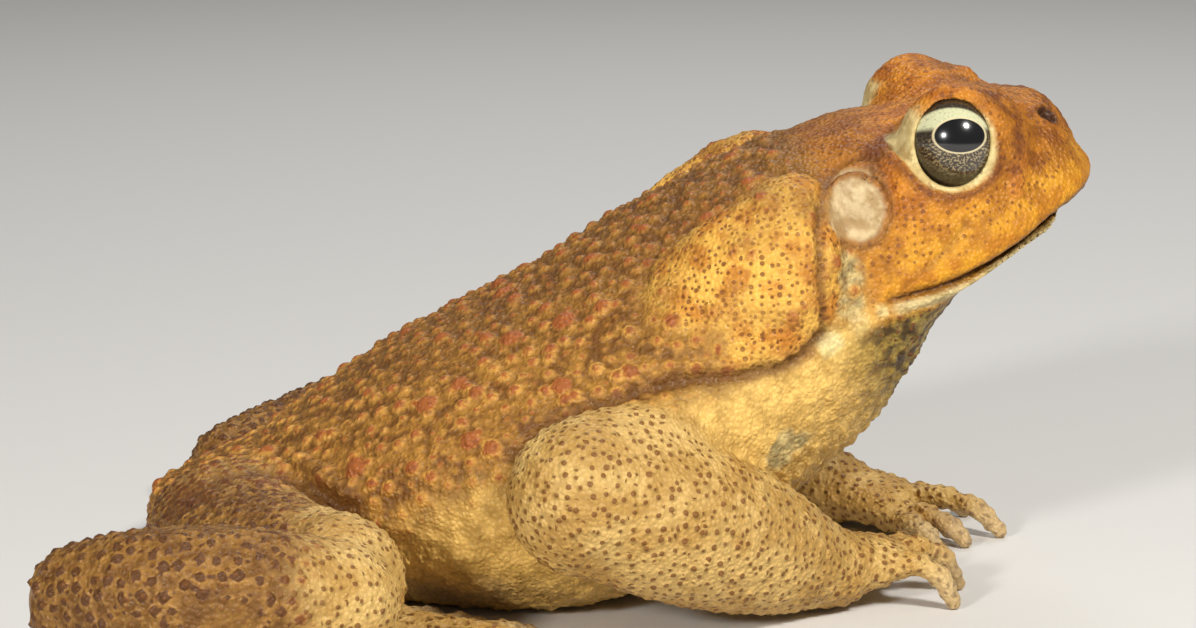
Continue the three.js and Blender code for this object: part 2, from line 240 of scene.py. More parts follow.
@dataclass(frozen=True)
class Limb:
    """A round form carried along a path, such as an upper arm, a foot or a toe.

    Attributes:
        joints: x, y, z, half width and half height of each point on the path.
        reach: the fillet where it grows out of the rest, near its first joint.
        far_reach: the fillet elsewhere, small where the limb only lies against the body.
        root: how far from its first joint the wide fillet fades.
        smooth: how many places along the path are worked out between two joints.
    """

    joints: Joints
    reach: float = 3.0
    far_reach: float = 0.6
    root: float = 12.0
    smooth: int = 5

    @cached_property
    def path(self) -> Array:
        """The joints and the places between them, on a smooth curve over the length of the path."""
        joints = np.array(self.joints, np.float64)
        gaps = np.linalg.norm(np.diff(joints[:, :3], axis=0), axis=1)
        lengths = np.concatenate([[0.0], np.cumsum(gaps)])
        at = np.linspace(0, lengths[-1], (len(joints) - 1) * self.smooth + 1)
        columns = [Curve(tuple(zip(lengths, column)))(at) for column in joints.T]
        return np.stack(columns, axis=1).astype(np.float32)

    def near(self, points: Array, margin: float) -> Array:
        """Which points lie in the path's own box, grown by its thickness and the margin."""
        grow = self.path[:, 3:].max() + margin
        low, high = self.path[:, :3].min(0) - grow, self.path[:, :3].max(0) + grow
        here = np.abs(points[:, 0] - 0.5 * (low[0] + high[0])) < 0.5 * (high[0] - low[0])
        for axis in (1, 2):
            middle, half = 0.5 * (low[axis] + high[axis]), 0.5 * (high[axis] - low[axis])
            here[here] = np.abs(points[here, axis] - middle) < half
        return here

    def distance(self, points: Array) -> Array:
        """How far points are from the limb: the least distance to an ellipse carried along each stretch."""
        best = np.full(len(points), 1e3, np.float32)
        for start, end in zip(self.path[:-1], self.path[1:]):
            course = end[:3] - start[:3]
            stretch = float(np.linalg.norm(course)) + 1e-6
            ahead = course / stretch
            across = np.cross(ahead, (0.0, 0.0, 1.0))
            across /= np.linalg.norm(across) + 1e-6
            axes = np.stack([ahead, across, np.cross(across, ahead)], axis=1)
            offsets = (points - start[:3]) @ axes.astype(np.float32)
            share = np.clip(offsets[:, 0] / stretch, 0.0, 1.0)
            offsets[:, 0] -= share * stretch
            sizes = np.empty_like(offsets)
            sizes[:, 1] = start[3] + share * (end[3] - start[3])
            sizes[:, 2] = start[4] + share * (end[4] - start[4])
            sizes[:, 0] = 0.5 * (sizes[:, 1] + sizes[:, 2])
            best = np.minimum(best, rounded(offsets, sizes))
        return best

    def join(self, points: Array, flesh: Array) -> Array:
        """The flesh with this limb grown onto it.

        Args:
            points: rows of x, y, z.
            flesh: the distances so far.

        Returns:
            The distances with the limb joined on.
        """
        here = self.near(points, 8.0)
        if not here.any():
            return flesh
        some = points[here]
        from_root = length(some - self.path[0, :3])
        reach = self.far_reach + (self.reach - self.far_reach) * np.exp(-((from_root / self.root) ** 2))
        flesh = flesh.copy()
        flesh[here] = joined(flesh[here], self.distance(some), reach)
        return flesh


@dataclass(frozen=True)
class Pad:
    """An ellipsoid set in the body by its place and tilt along the spine line."""

    along: float
    side: float
    up: float
    sizes: tuple[float, float, float]
    climb: float = 0.0
    lean: float = 0.0
    turn: float = 0.0
    reach: float = 1.5

    def centre(self, side: Side) -> Array:
        """Its middle, on the side given."""
        return from_spine(self.along, side.value * self.side, self.up)

    def distance(self, points: Array, side: Side) -> Array:
        """How far points are from the pad on the side given."""
        axes = turned(-PITCH - self.climb, side.value * self.lean, -side.value * self.turn)
        return rounded((points - self.centre(side)) @ axes, np.array(self.sizes, np.float32))


EYE_RADIUS = 6.2
EYE_SPOT = Pad(51.2, 14.8, 8.25, (EYE_RADIUS, EYE_RADIUS, EYE_RADIUS))


@dataclass(frozen=True)
class Gaze:
    """The directions that an eye is built on: out of its middle, level forward, and up across it."""

    azimuth: float
    elevation: float

    def axes(self, side: Side) -> Array:
        """Columns of the level, upward and outward directions on the side given."""
        out = np.array([
            math.sin(self.azimuth) * math.cos(self.elevation),
            side.value * math.cos(self.azimuth) * math.cos(self.elevation),
            math.sin(self.elevation),
        ])
        level = np.array([math.cos(self.azimuth), -side.value * math.sin(self.azimuth), 0.0])
        up = np.cross(level, out) * side.value
        up *= np.sign(up[2])
        return np.stack([level, up, out], axis=1).astype(np.float32)


LOOK = Gaze(math.radians(-1.0), math.radians(14.0))
LID_FACING = Gaze(math.radians(-10.0), math.radians(6.5))


@dataclass(frozen=True)
class Lids:
    """The opening over the eyeball, the smooth pale lid below and behind it, and the thick rim above."""

    open_wide: float = 4.65
    open_high: float = 5.5
    open_drop: float = 0.25
    under_skin: float = 0.9
    lid_thickness: float = 0.5
    inset: float = 0.75
    reach: float = 15.0
    rim_width: float = 2.6
    brow_radius: float = 6.9
    brow_width: float = 0.9
    crescent: Curve = Curve((
        (-180, 8.4), (-165, 7.3), (-150, 6.5), (-125, 6.4), (-95, 6.35), (-76, 6.35), (-58, 6.4), (-39, 6.2),
        (-10, 5.6), (20, 5.4), (60, 5.5), (90, 5.6), (120, 5.8), (138, 6.2), (150, 7.8), (159, 9.9),
        (168, 9.5), (180, 8.4),
    ))

    def plan(self, points: Array, side: Side) -> tuple[Array, Array, Array, Array]:
        """Points seen square on to the lids.

        Args:
            points: rows of x, y, z.
            side: which eye.

        Returns:
            Distance forward, distance up and depth outward from the eye's middle, and distance from it.
        """
        local = (points - EYE_SPOT.centre(side)) @ LID_FACING.axes(side)
        return local[:, 0], local[:, 1], local[:, 2], length(local)

    def opening(self, forward: Array, up: Array) -> Array:
        """Distance to the opening's oval, in the plane of the lids."""
        flat = np.stack([forward, up + self.open_drop, np.zeros_like(up)], axis=1)
        return rounded(flat, np.array([self.open_wide, self.open_high, 1.0], np.float32))

    def skirt(self, forward: Array, up: Array) -> Array:
        """Distance to the outer edge of the pale lid, in the plane of the lids."""
        return np.hypot(forward, up) - self.crescent(np.degrees(np.arctan2(up, forward)))

    def carve(self, points: Array, flesh: Array, side: Side) -> Array:
        """The flesh with the lids formed round one eyeball.

        Args:
            points: rows of x, y, z.
            flesh: the distances so far.
            side: which eye.

        Returns:
            The distances with the lid's step, the opening and the rim round it.
        """
        here = length(points - EYE_SPOT.centre(side)) < self.reach
        if not here.any():
            return flesh
        flesh = flesh.copy()
        forward, up, depth, away = self.plan(points[here], side)
        skin = flesh[here]
        in_front = np.where(depth > 0, 0.0, 50.0)
        skirt = self.skirt(forward, up) + in_front
        step = np.maximum(np.maximum(skirt, EYE_RADIUS + self.lid_thickness - away), -skin - self.inset)
        skin = carved(skin, step, 0.5)
        opening = self.opening(forward, up) + in_front
        shell = away - EYE_RADIUS - self.lid_thickness
        lid = np.where(depth > 0, np.maximum(shell, np.maximum(-opening, opening - self.rim_width)), shell)
        skin = joined(skin, lid, 0.8)
        bulge = np.exp(-(((np.hypot(forward, up) - self.brow_radius) / self.brow_width) ** 2))
        brow = bulge * ease(up, 0.5, 3.5) * ease(depth, 0.0, 2.0)
        skin = skin - brow * (0.25 + 0.5 * ease(forward, -5.5, -1.5))
        hole = np.maximum(opening, EYE_RADIUS - self.under_skin - away)
        flesh[here] = carved(skin, hole, 0.45)
        return flesh


class Region(Enum):
    """The parts of the skin that have their own colours, textures or painted shade, as the names of its
    attributes.
    """

    BACK = "back"
    BELLY = "belly"
    THROAT = "throat"
    LIMB = "limb"
    RUMP = "rump"
    # darker along the top of the back: partly the toad's own colour, partly painted shade
    DORSUM = "dorsum"
    HEAD = "head"
    CHEEK = "cheek"
    SNOUT = "snout"
    GLAND = "gland"
    CREST = "crest"
    LIP = "lip"
    LOWER_LIP = "lower_lip"
    # painted shadow along the slit between the lips
    GAPE = "gape"
    # the head's own dark red-brown spots, with painted shade under the hip's fold and along the lids' lower
    # edges
    DUSK = "dusk"
    PALE = "pale"
    MARBLE = "marble"
    LID = "lid"
    DRUM = "drum"
    RIM = "rim"
    # painted shade inside the nostrils
    NOSTRIL = "nostril"
    # painted shade in the skin's creases
    TIP = "tip"
    FOLD = "fold"
    WART = "wart"
    PEAK = "peak"


# Where the line between the lips starts, and how high it runs over the spine line
GAPE_START = 35.5
GAPE_LINE = Curve((
    (30, -4.4), (GAPE_START, -4.9), (38, -5.4), (41, -6.1), (46.3, -6.8), (53.4, -6.5), (59.3, -5.9),
    (FRONT, -5.3),
))

DRUM = Pad(36.5, 20.6, 6.9, (3.6, 1.9, 4.3), turn=-0.2, reach=0.7)
GLANDS = (
    Pad(18.2, 22.6, 2.8, (15.0, 6.4, 10.4), climb=0.38, lean=0.46, reach=2.0),
    Pad(26.5, 19.4, 7.0, (8.4, 6.2, 6.6), climb=0.5, lean=0.6, reach=2.0),
)
ORBITS = (Pad(52.4, 11.8, 6.4, (8.4, 8.3, 7.6), reach=2.2), Pad(46.4, 14.2, 4.3, (8.0, 7.3, 6.3), reach=2.5))


@dataclass(frozen=True)
class Face:
    """What makes the head: brows, bony ridges, nostrils, eardrums, mouth and the glands behind."""

    lids: Lids = Lids()
    ridge: Joints = (
        (63.4, 6.6, 5.2, 0.8), (60.4, 8.6, 7.3, 1.0), (57.4, 10.4, 9.7, 1.2), (52, 12.2, 12.4, 1.3),
        (48, 13.4, 10.6, 1.2), (44.6, 15.0, 9.1, 1.1), (42.0, 16.7, 8.3, 1.0), (39.8, 18.2, 7.4, 0.9),
    )
    fore_ridge: Joints = (
        (58.5, 10.5, 10.2, 1.1), (58.8, 13.4, 7.6, 1.2), (57.6, 16.0, 3.6, 1.0), (55.4, 18.0, -0.2, 0.7),
    )
    nostril: tuple[float, float, float] = (64.3, 8.8, 4.9)
    nostril_radius: float = 1.25

    def spine_path(self, route: Joints, side: Side) -> Joints:
        """A route along the spine line as joints of an even, round limb."""
        return tuple(
            (*from_spine(along, side.value * out, up).tolist(), size, size) for along, out, up, size in route
        )

    @cached_property
    def ridges(self) -> dict[Side, tuple[Limb, ...]]:
        """The bony ridge over each eye and the one that runs down before it."""
        return {
            side: (
                Limb(self.spine_path(self.ridge, side), 1.4, 1.4),
                Limb(self.spine_path(self.fore_ridge, side), 1.6, 1.6),
            )
            for side in Side
        }

    def drum_plan(self, points: Array, side: Side) -> tuple[Array, Array]:
        """Distance to the eardrum's edge in its own plane, and height over that plane."""
        axes = turned(-PITCH, 0.0, -side.value * DRUM.turn)
        local = (points - DRUM.centre(side)) @ axes
        flat = np.stack([local[:, 0], local[:, 2], np.zeros(len(local), np.float32)], axis=1)
        edge = rounded(flat, np.array([DRUM.sizes[0], DRUM.sizes[2], 1.0], np.float32))
        return edge, local[:, 1] * side.value

    def join(self, points: Array, flesh: Array) -> Array:
        """The flesh with brows, ridges, glands, mouth, eardrums, nostrils and lids formed on it.

        Args:
            points: rows of x, y, z.
            flesh: the distance to the plain body.

        Returns:
            The distance to body and face.
        """
        along, _, up = to_spine(points)
        for side in Side:
            for swelling in (*ORBITS, *GLANDS):
                flesh = joined(flesh, swelling.distance(points, side), swelling.reach)
            for ridge in self.ridges[side]:
                flesh = ridge.join(points, flesh)
        flesh = self.mouth(along, up, flesh)
        for side in Side:
            edge, height = self.drum_plan(points, side)
            flesh = joined(flesh, DRUM.distance(points, side), DRUM.reach)
            close = np.exp(-((height / 3.5) ** 2)) * (height > -3.5)
            groove = 0.3 * np.exp(-(((edge - 0.1) / 0.4) ** 2))
            flesh = flesh + close * (0.45 * ease(-edge, 0.1, 0.9) - groove)
            flesh = flesh + close * 0.35 * np.exp(-(((edge - 1.0) / 0.4) ** 2))
            hole = length(points - from_spine(self.nostril[0], side.value * self.nostril[1], self.nostril[2]))
            flesh = flesh - 0.45 * np.exp(-(((hole - 1.6) / 0.8) ** 2)) * ease(up, 1.0, 3.5)
            flesh = carved(flesh, hole - self.nostril_radius, 0.4)
            flesh = self.lids.carve(points, flesh, side)
        return flesh

    def mouth(self, along: Array, up: Array, flesh: Array) -> Array:
        """The flesh with the lips formed: a swollen upper lip over a groove, and a thin lower lip."""
        over = up - GAPE_LINE(along)
        here = ease(along, GAPE_START - 1.0, GAPE_START + 3.0)
        upper = 0.5 * np.exp(-(((over - 2.2) / 1.6) ** 2))
        groove = 0.95 * np.exp(-((over / 0.48) ** 2))
        lower = 0.75 * np.exp(-(((over + 1.1) / 0.6) ** 2)) * (1 - ease(along, 57.0, 64.0))
        set_back = 0.3 * ease(along, 58.5, 66.0) * ease(-over, -0.2, 0.5)
        return flesh + here * (groove - lower - upper) + set_back


def digit_joints(root: tuple[float, ...], side: Side, digit: tuple[float, ...], radius: float) -> Joints:
    """A finger or toe as limb joints: out along its heading, over the knuckle and down to the tip.

    Args:
        root: the last joint of the palm or sole it grows from.
        side: which side of the body.
        digit: heading in degrees inwards from ahead, length, how far inwards it starts, and knuckle height.
        radius: half thickness at the knuckle.

    Returns:
        The joints, swollen at the knuckles and thinner between them.
    """
    heading, length, offset, knuckle = digit
    turn = math.radians(-side.value * heading)
    spots = (
        (0.0, max(knuckle * 0.8, radius * 0.9), 1.12), (0.25, max(knuckle * 0.95, radius), 0.84),
        (0.5, knuckle, 0.98), (0.65, knuckle * 0.9, 0.76), (0.8, knuckle * 0.75, 0.88),
        (0.92, knuckle * 0.35 + radius * 0.3, 0.7), (1.0, radius * 0.5, 0.6),
    )
    return tuple(
        (
            root[0] + math.cos(turn) * length * share,
            root[1] - side.value * offset + math.sin(turn) * length * share,
            height, radius * size, radius * size * 0.92,
        )
        for share, height, size in spots
    )


@dataclass(frozen=True)
class Arm:
    """An upper arm, forearm, hand and four fingers."""

    side: Side
    upper: Joints
    forearm: Joints
    palm: Joints
    fingers: Joints
    finger_radius: float = 1.7

    @cached_property
    def digits(self) -> tuple[Limb, ...]:
        """The fingers, from the innermost."""
        return tuple(
            Limb(digit_joints(self.palm[1], self.side, finger, self.finger_radius), 1.4, 0.3, 5.0, 3)
            for finger in self.fingers
        )

    @cached_property
    def limbs(self) -> tuple[Limb, ...]:
        """All pieces, from the shoulder out."""
        return (
            Limb(self.upper, 6.0, 0.8, 11.0), Limb(self.forearm, 5.0, 0.8, 9.0),
            Limb(self.palm, 3.0, 2.0, 6.0), *self.digits,
        )


@dataclass(frozen=True)
class Leg:
    """A thigh, shank, foot and five half-webbed toes."""

    side: Side
    thigh: Joints
    shank: Joints
    sole: Joints
    toes: Joints = (
        (30, 11, 6, 1.9), (16, 15, 3.6, 2), (6, 21, 0.9, 2.2), (-3, 30, -2.2, 2.4), (-17, 20, -5.2, 2.2),
    )
    web_reach: tuple[float, ...] = (9, 12, 14, 12)
    web_low: float = 0.65
    web_high: float = 1.5
    toe_radius: float = 1.75

    @cached_property
    def digits(self) -> tuple[Limb, ...]:
        """The toes, from the innermost."""
        return tuple(
            Limb(digit_joints(self.sole[3], self.side, toe, self.toe_radius), 1.4, 0.3, 5.0, 3)
            for toe in self.toes
        )

    @cached_property
    def limbs(self) -> tuple[Limb, ...]:
        """All pieces, from the hip out."""
        return (
            Limb(self.thigh, 3.5, 1.0, 16.0), Limb(self.shank, 1.4, 0.8, 9.0), Limb(self.sole, 2.5, 0.8, 8.0),
            *self.digits,
        )

    @cached_property
    def web_outline(self) -> Array:
        """The web's outline seen from above: out to each toe and back in between it and the next."""
        root = np.array(self.sole[3][:2])
        outline = [root + (-3.0, -self.side.value * self.toes[0][2])]
        reaches = [self.web_reach[0], *self.web_reach, self.web_reach[-1]]
        for i, (heading, _, offset, _) in enumerate(self.toes):
            turn = math.radians(-self.side.value * heading)
            course = np.array([math.cos(turn), math.sin(turn)])
            start = root + (0.0, -self.side.value * offset)
            if i:
                reach = reaches[i] - 3
                inner = 0.5 * (previous[0] + previous[1] * reach + start + course * reach)
                outline.append(inner)
            outline.append(start + course * ((reaches[i] + reaches[i + 1]) / 2 + 2))
            previous = (start, course)
        outline.append(root + (-3.0, -self.side.value * self.toes[-1][2]))
        return np.array(outline, np.float32)

    def web(self, points: Array) -> Array:
        """How far points are from the web: the greater of the distances to its outline and its faces."""
        plan = points[:, :2]
        corners = self.web_outline
        best = np.full(len(plan), 1e6, np.float32)
        inside = np.zeros(len(plan), bool)
        for start, end in zip(corners, np.roll(corners, -1, axis=0)):
            course = end - start
            offset = plan - start
            share = np.clip(offset @ course / (course @ course), 0.0, 1.0)
            best = np.minimum(best, length(offset - share[:, None] * course))
            crosses = (start[1] > plan[:, 1]) != (end[1] > plan[:, 1])
            lean = (plan[:, 1] - start[1]) * (end[0] - start[0]) / (end[1] - start[1] + 1e-9) + start[0]
            inside ^= crosses & (plan[:, 0] < lean)
        outline = np.where(inside, -best, best)
        middle, half = 0.5 * (self.web_low + self.web_high), 0.5 * (self.web_high - self.web_low)
        return np.maximum(outline, np.abs(points[:, 2] - middle) - half)


RIGHT_ARM = Arm(
    Side.RIGHT,
    upper=((10, -18, 23.2, 9.5, 8.8), (3, -29, 21.2, 9.6, 8.8), (-5.2, -36.5, 18.8, 8.6, 9)),
    forearm=(
        (-4.6, -37, 18.4, 8.6, 8.8), (7, -33.8, 14.6, 9, 10), (18, -28.4, 9.6, 7.4, 8.2),
        (27, -22.8, 5.4, 5, 4.6),
    ),
    palm=((27.5, -22.4, 5.6, 4.9, 4.2), (33.5, -19, 5.6, 5.6, 2.9)),
    fingers=((72, 12, 4.2, 4.4), (46, 13, 2, 5.4), (22, 12.5, -0.8, 6.4), (-8, 9.5, -3.8, 5.8)),
)
LEFT_ARM = Arm(
    Side.LEFT,
    upper=((12, 18, 24.6, 9.5, 9.8), (7, 29, 22.6, 9.6, 10), (-0.5, 37, 19.2, 8.6, 9)),
    forearm=(
        (0, 37.5, 18.4, 8.6, 8.8), (12.5, 34.2, 14.6, 9, 10), (24, 28.4, 9.6, 7.4, 8.2),
        (33.5, 22, 5.4, 5, 4.6),
    ),
    palm=((34, 21.8, 4.9, 4.9, 4.2), (41, 17.6, 3.9, 6.2, 3.2)),
    fingers=((66, 11, 4.4, 2.8), (46, 13, 2.2, 3.4), (27, 16.5, -0.8, 5), (-4, 12, -4.4, 3.6)),
)
RIGHT_LEG = Leg(
    Side.RIGHT,
    thigh=((-46, -12, 9.6, 12, 8.2), (-43.5, -29, 9.8, 10.5, 8.0), (-35, -43, 10.4, 8.2, 8.2)),
    shank=(
        (-35, -49.5, 9.6, 7.2, 7.4), (-46, -52.5, 10.9, 7.8, 8.6), (-56, -51.5, 11.2, 7.5, 8.2),
        (-64.6, -46.5, 9.6, 6.2, 6.8),
    ),
    sole=(
        (-64.6, -44, 4.7, 4.6, 5), (-50, -40.5, 3.8, 4.2, 4.1), (-38, -38.5, 2.9, 6.2, 3.2),
        (-31.3, -38, 2.2, 7.2, 2.5),
    ),
)
LEFT_LEG = Leg(
    Side.LEFT,
    thigh=((-43, 12, 8.4, 11.5, 6.4), (-33.5, 28, 8.8, 10.5, 7.2), (-21, 41, 9.6, 8.2, 8)),
    shank=(
        (-19.5, 46, 9.4, 7.2, 7.4), (-30, 48.5, 8.8, 7.8, 7.6), (-40, 45.5, 6.9, 7.2, 6.5),
        (-48, 38.5, 5.8, 5.8, 5.6),
    ),
    sole=(
        (-47.5, 36, 4.4, 4.6, 4.7), (-33.5, 35, 3.8, 4.2, 4.1), (-21.5, 35.5, 2.9, 6.2, 3.2),
        (-14.8, 36.5, 2.2, 7.2, 2.5),
    ),
)


# Random bumps


def scrambled(cells: Array, seed: int) -> Array:
    """Four random numbers for each whole-numbered cell.

    Args:
        cells: rows of three whole numbers.
        seed: gives another set of numbers.

    Returns:
        Rows of four numbers from nought to one, worked out by mixing the bits of the cell's numbers.
    """
    mixed = (
        cells[:, 0].astype(np.uint32) * np.uint32(0x8DA6B343)
        ^ cells[:, 1].astype(np.uint32) * np.uint32(0xD8163841)
        ^ cells[:, 2].astype(np.uint32) * np.uint32(0xCB1AB31F)
        ^ np.uint32(seed * 2654435761 & 0xFFFFFFFF)
    )
    columns = []
    for _ in range(4):
        mixed = (mixed ^ (mixed >> np.uint32(15))) * np.uint32(0x2C1B3C6D)
        mixed = (mixed ^ (mixed >> np.uint32(12))) * np.uint32(0x297A2D39)
        mixed = mixed ^ (mixed >> np.uint32(15))
        columns.append(mixed.astype(np.float32) / np.float32(4294967296.0))
    return np.stack(columns, axis=1)


@dataclass(frozen=True)
class Warts:
    """Round warts spread evenly over the skin.

    Attributes:
        gap: the least distance between the middles of two.
        radius: their half width, least and greatest.
        height: how far the widest stands out.
        seed: gives another spread.
        peak: how much of a wart's width its dark top takes.
        ripe: how strong the tops are, least and greatest.
    """

    gap: float
    radius: tuple[float, float]
    height: float
    seed: int
    peak: float = 0.62
    ripe: tuple[float, float] = (0.0, 0.0)

    def table(self, cells: Array, margin: int) -> tuple[Array, Array]:
        """The number of each cell's owner on a grid with a margin, −1 where there is none, and its corner."""
        corner = cells.min(0) - margin
        owner = np.full(cells.max(0) - corner + margin + 1, -1, np.int32)
        owner[tuple((cells - corner).T)] = np.arange(len(cells))
        return owner, corner

    def middles(self, points: Array, wanted: Array) -> Array:
        """Chooses the points that warts grow on.

        Args:
            points: rows of x, y, z on the surface.
            wanted: the share of the warts that each place is to have.

        Returns:
            Rows of x, y, z, radius and ripeness: of one point from each small cell, those of the highest
            random rank within the gap, then again among what is left, until none is.
        """
        cell = 0.5 * self.gap
        cells = np.floor(points / cell).astype(np.int64)
        chance = scrambled(cells, self.seed)
        away = length(points / cell - cells - 0.25 - 0.5 * chance[:, :3])
        code = cells @ np.array([1 << 24, 1 << 12, 1])
        order = np.lexsort((away, code))
        chosen = order[np.unique(code[order], return_index=True)[1]]
        chosen = chosen[chance[chosen, 3] < wanted[chosen]]
        places, chance, cells = points[chosen], chance[chosen], cells[chosen]
        owner, corner = self.table(cells, 2)
        nearby = [owner[tuple((cells - corner + np.array(step) - 2).T)] for step in np.ndindex(5, 5, 5)]
        others = np.stack(nearby, axis=1)
        apart = np.linalg.norm(places[others] - places[:, None], axis=2)
        none = len(places)
        rivals = (others >= 0) & (apart < self.gap) & (others != np.arange(none)[:, None])
        others = np.where(rivals, others, none)
        rank = np.append((chance[:, 3] * 57.31) % 1.0, -1.0)
        open_still = np.append(np.ones(none, bool), False)
        kept = np.zeros(none, bool)
        while open_still.any():
            rival = np.where(open_still[others], rank[others], -1.0).max(axis=1)
            winners = open_still[:-1] & (rank[:-1] > rival)
            kept |= winners
            open_still[:-1][winners] = False
            open_still[others[winners]] = False
        radius = self.radius[0] + (self.radius[1] - self.radius[0]) * chance[:, 0]
        ripeness = self.ripe[0] + (self.ripe[1] - self.ripe[0]) * chance[:, 1]
        return np.column_stack([places, radius, ripeness])[kept].astype(np.float32)

    def grown(self, points: Array, wanted: Array) -> tuple[Array, Array]:
        """The warts at the points.

        Args:
            points: rows of x, y, z on the surface.
            wanted: the share of the warts that each place is to have.

        Returns:
            Height, (1 − r²)^1.3 of the distance r from the nearest wart's middle over its radius, times
            the radius over the greatest and the full height; and the dark top's strength, the same way.
        """
        warts = self.middles(points, wanted)
        cell = 0.57 * self.gap
        owner, corner = self.table(np.floor(warts[:, :3] / cell).astype(np.int64), 1)
        home = np.floor(points / cell).astype(np.int64) - corner
        reach = math.ceil(self.radius[1] / cell)
        inside = np.nonzero(np.all((home >= reach) & (home < np.array(owner.shape) - reach), axis=1))[0]
        height = np.zeros(len(points), np.float32)
        top = np.zeros(len(points), np.float32)
        for step in np.ndindex(*[2 * reach + 1] * 3):
            nearest = owner[tuple((home[inside] + np.array(step) - reach).T)]
            here = inside[nearest >= 0]
            wart = warts[nearest[nearest >= 0]]
            away = length(points[here] - wart[:, :3]) / wart[:, 3]
            dome = np.clip(1 - away**2, 0, 1) ** 1.3 * self.height * wart[:, 3] / self.radius[1]
            height[here] = np.maximum(height[here], dome)
            top[here] = np.maximum(top[here], np.clip(1.15 - (away / self.peak) ** 2, 0, 1) * wart[:, 4])
        return height, top


def waves(points: Array, cell: float, seed: int) -> Array:
    """Smooth noise from about −1 to 1: random values at the corners of cells, eased between them."""
    scaled = points / cell
    home = np.floor(scaled).astype(np.int64)
    share = scaled - home
    share = share * share * (3.0 - 2.0 * share)
    total = np.zeros(len(points), np.float32)
    for step in np.ndindex(2, 2, 2):
        weight = np.prod(np.where(np.array(step) == 1, share, 1.0 - share), axis=1)
        total += weight * (scrambled(home + np.array(step), seed)[:, 0] * 2.0 - 1.0)
    return total


@dataclass(frozen=True)
class Crease:
    """A fold in the skin of both sides: its route on the right side, width and depth, in millimetres."""

    route: tuple[tuple[float, float, float], ...]
    width: float
    depth: float

    def cut(self, points: Array, side: Side) -> Array:
        """Its depth at points: the full one times exp of minus the square of the distance over its width."""
        path = np.array([(x, -side.value * y, z) for x, y, z in self.route], np.float32)
        best = np.full(len(points), 1e6, np.float32)
        for start, end in zip(path[:-1], path[1:]):
            course = end - start
            share = np.clip((points - start) @ course / (course @ course), 0.0, 1.0)
            best = np.minimum(best, length(points - start - share[:, None] * course))
        return self.depth * np.exp(-((best / self.width) ** 2))


# From distances to a mesh


@dataclass
class Net:
    """A closed mesh of four-sided faces in millimetres."""

    points: Array
    quads: Array

    @cached_property
    def edges(self) -> Array:
        """Both ends of every side of every face."""
        return np.concatenate([self.quads[:, [i, (i + 1) % 4]] for i in range(4)])

    def averaged(self, values: Array) -> Array:
        """Each point's mean of the values at its neighbours."""
        count = np.bincount(self.edges[:, 0], minlength=len(self.points)).astype(np.float32)
        columns = values.reshape(len(values), -1)
        sums = [
            np.bincount(self.edges[:, 0], weights=column[self.edges[:, 1]], minlength=len(self.points))
            for column in columns.T
        ]
        return (np.stack(sums, axis=1) / count[:, None]).astype(np.float32).reshape(values.shape)


def netted(values: Array, lines: tuple[Array, Array, Array]) -> Net:
    """The surface where sampled distances are nought: a net of one point in each cell that it crosses.

    Args:
        values: distances on a grid.
        lines: the places of the grid's planes across x, y and z.

    Returns:
        The net, with each point at the mean of the crossings on its cell's edges.
    """
    inside = values < 0
    last = np.array(inside.shape) - 1
    corner_count = sum(
        inside[i : last[0] + i, j : last[1] + j, k : last[2] + k].astype(np.uint8)
        for i, j, k in np.ndindex(2, 2, 2)
    )
    cells = np.stack(np.nonzero((corner_count > 0) & (corner_count < 8)), axis=1)
    number = np.full(corner_count.shape, -1, np.int32)
    number[tuple(cells.T)] = np.arange(len(cells))
    total = np.zeros((len(cells), 3), np.float32)
    count = np.zeros(len(cells), np.float32)
    for axis in range(3):
        ahead = np.eye(3, dtype=int)[axis]
        for step in np.ndindex(2, 2, 2):
            if step[axis]:
                continue
            start = values[tuple((cells + step).T)]
            end = values[tuple((cells + step + ahead).T)]
            cross = (start < 0) != (end < 0)
            share = np.where(cross, start / np.where(cross, start - end, 1.0), 0.0)
            total += cross[:, None] * (np.array(step) + share[:, None] * ahead)
            count += cross
    local = total / count[:, None]
    points = np.stack(
        [
            line[cell] + share * (line[cell + 1] - line[cell])
            for line, cell, share in zip(lines, cells.T, local.T)
        ],
        axis=1,
    )
    quads = []
    for axis in range(3):
        second, third = (axis + 1) % 3, (axis + 2) % 3
        low = inside[tuple(slice(0, -1) if i == axis else slice(1, -1) for i in range(3))]
        high = inside[tuple(slice(1, None) if i == axis else slice(1, -1) for i in range(3))]
        for rising in (True, False):
            crossed = (low & ~high) if rising else (high & ~low)
            at = np.stack(np.nonzero(crossed), axis=1)
            at[:, [second, third]] += 1
            ring = [(-1, -1), (0, -1), (0, 0), (-1, 0)]
            corners = []
            for a, b in ring if rising else ring[::-1]:
                cell = at.copy()
                cell[:, second] += a
                cell[:, third] += b
                corners.append(number[tuple(cell.T)])
            quads.append(np.stack(corners, axis=1))
    return Net(points.astype(np.float32), np.concatenate(quads))


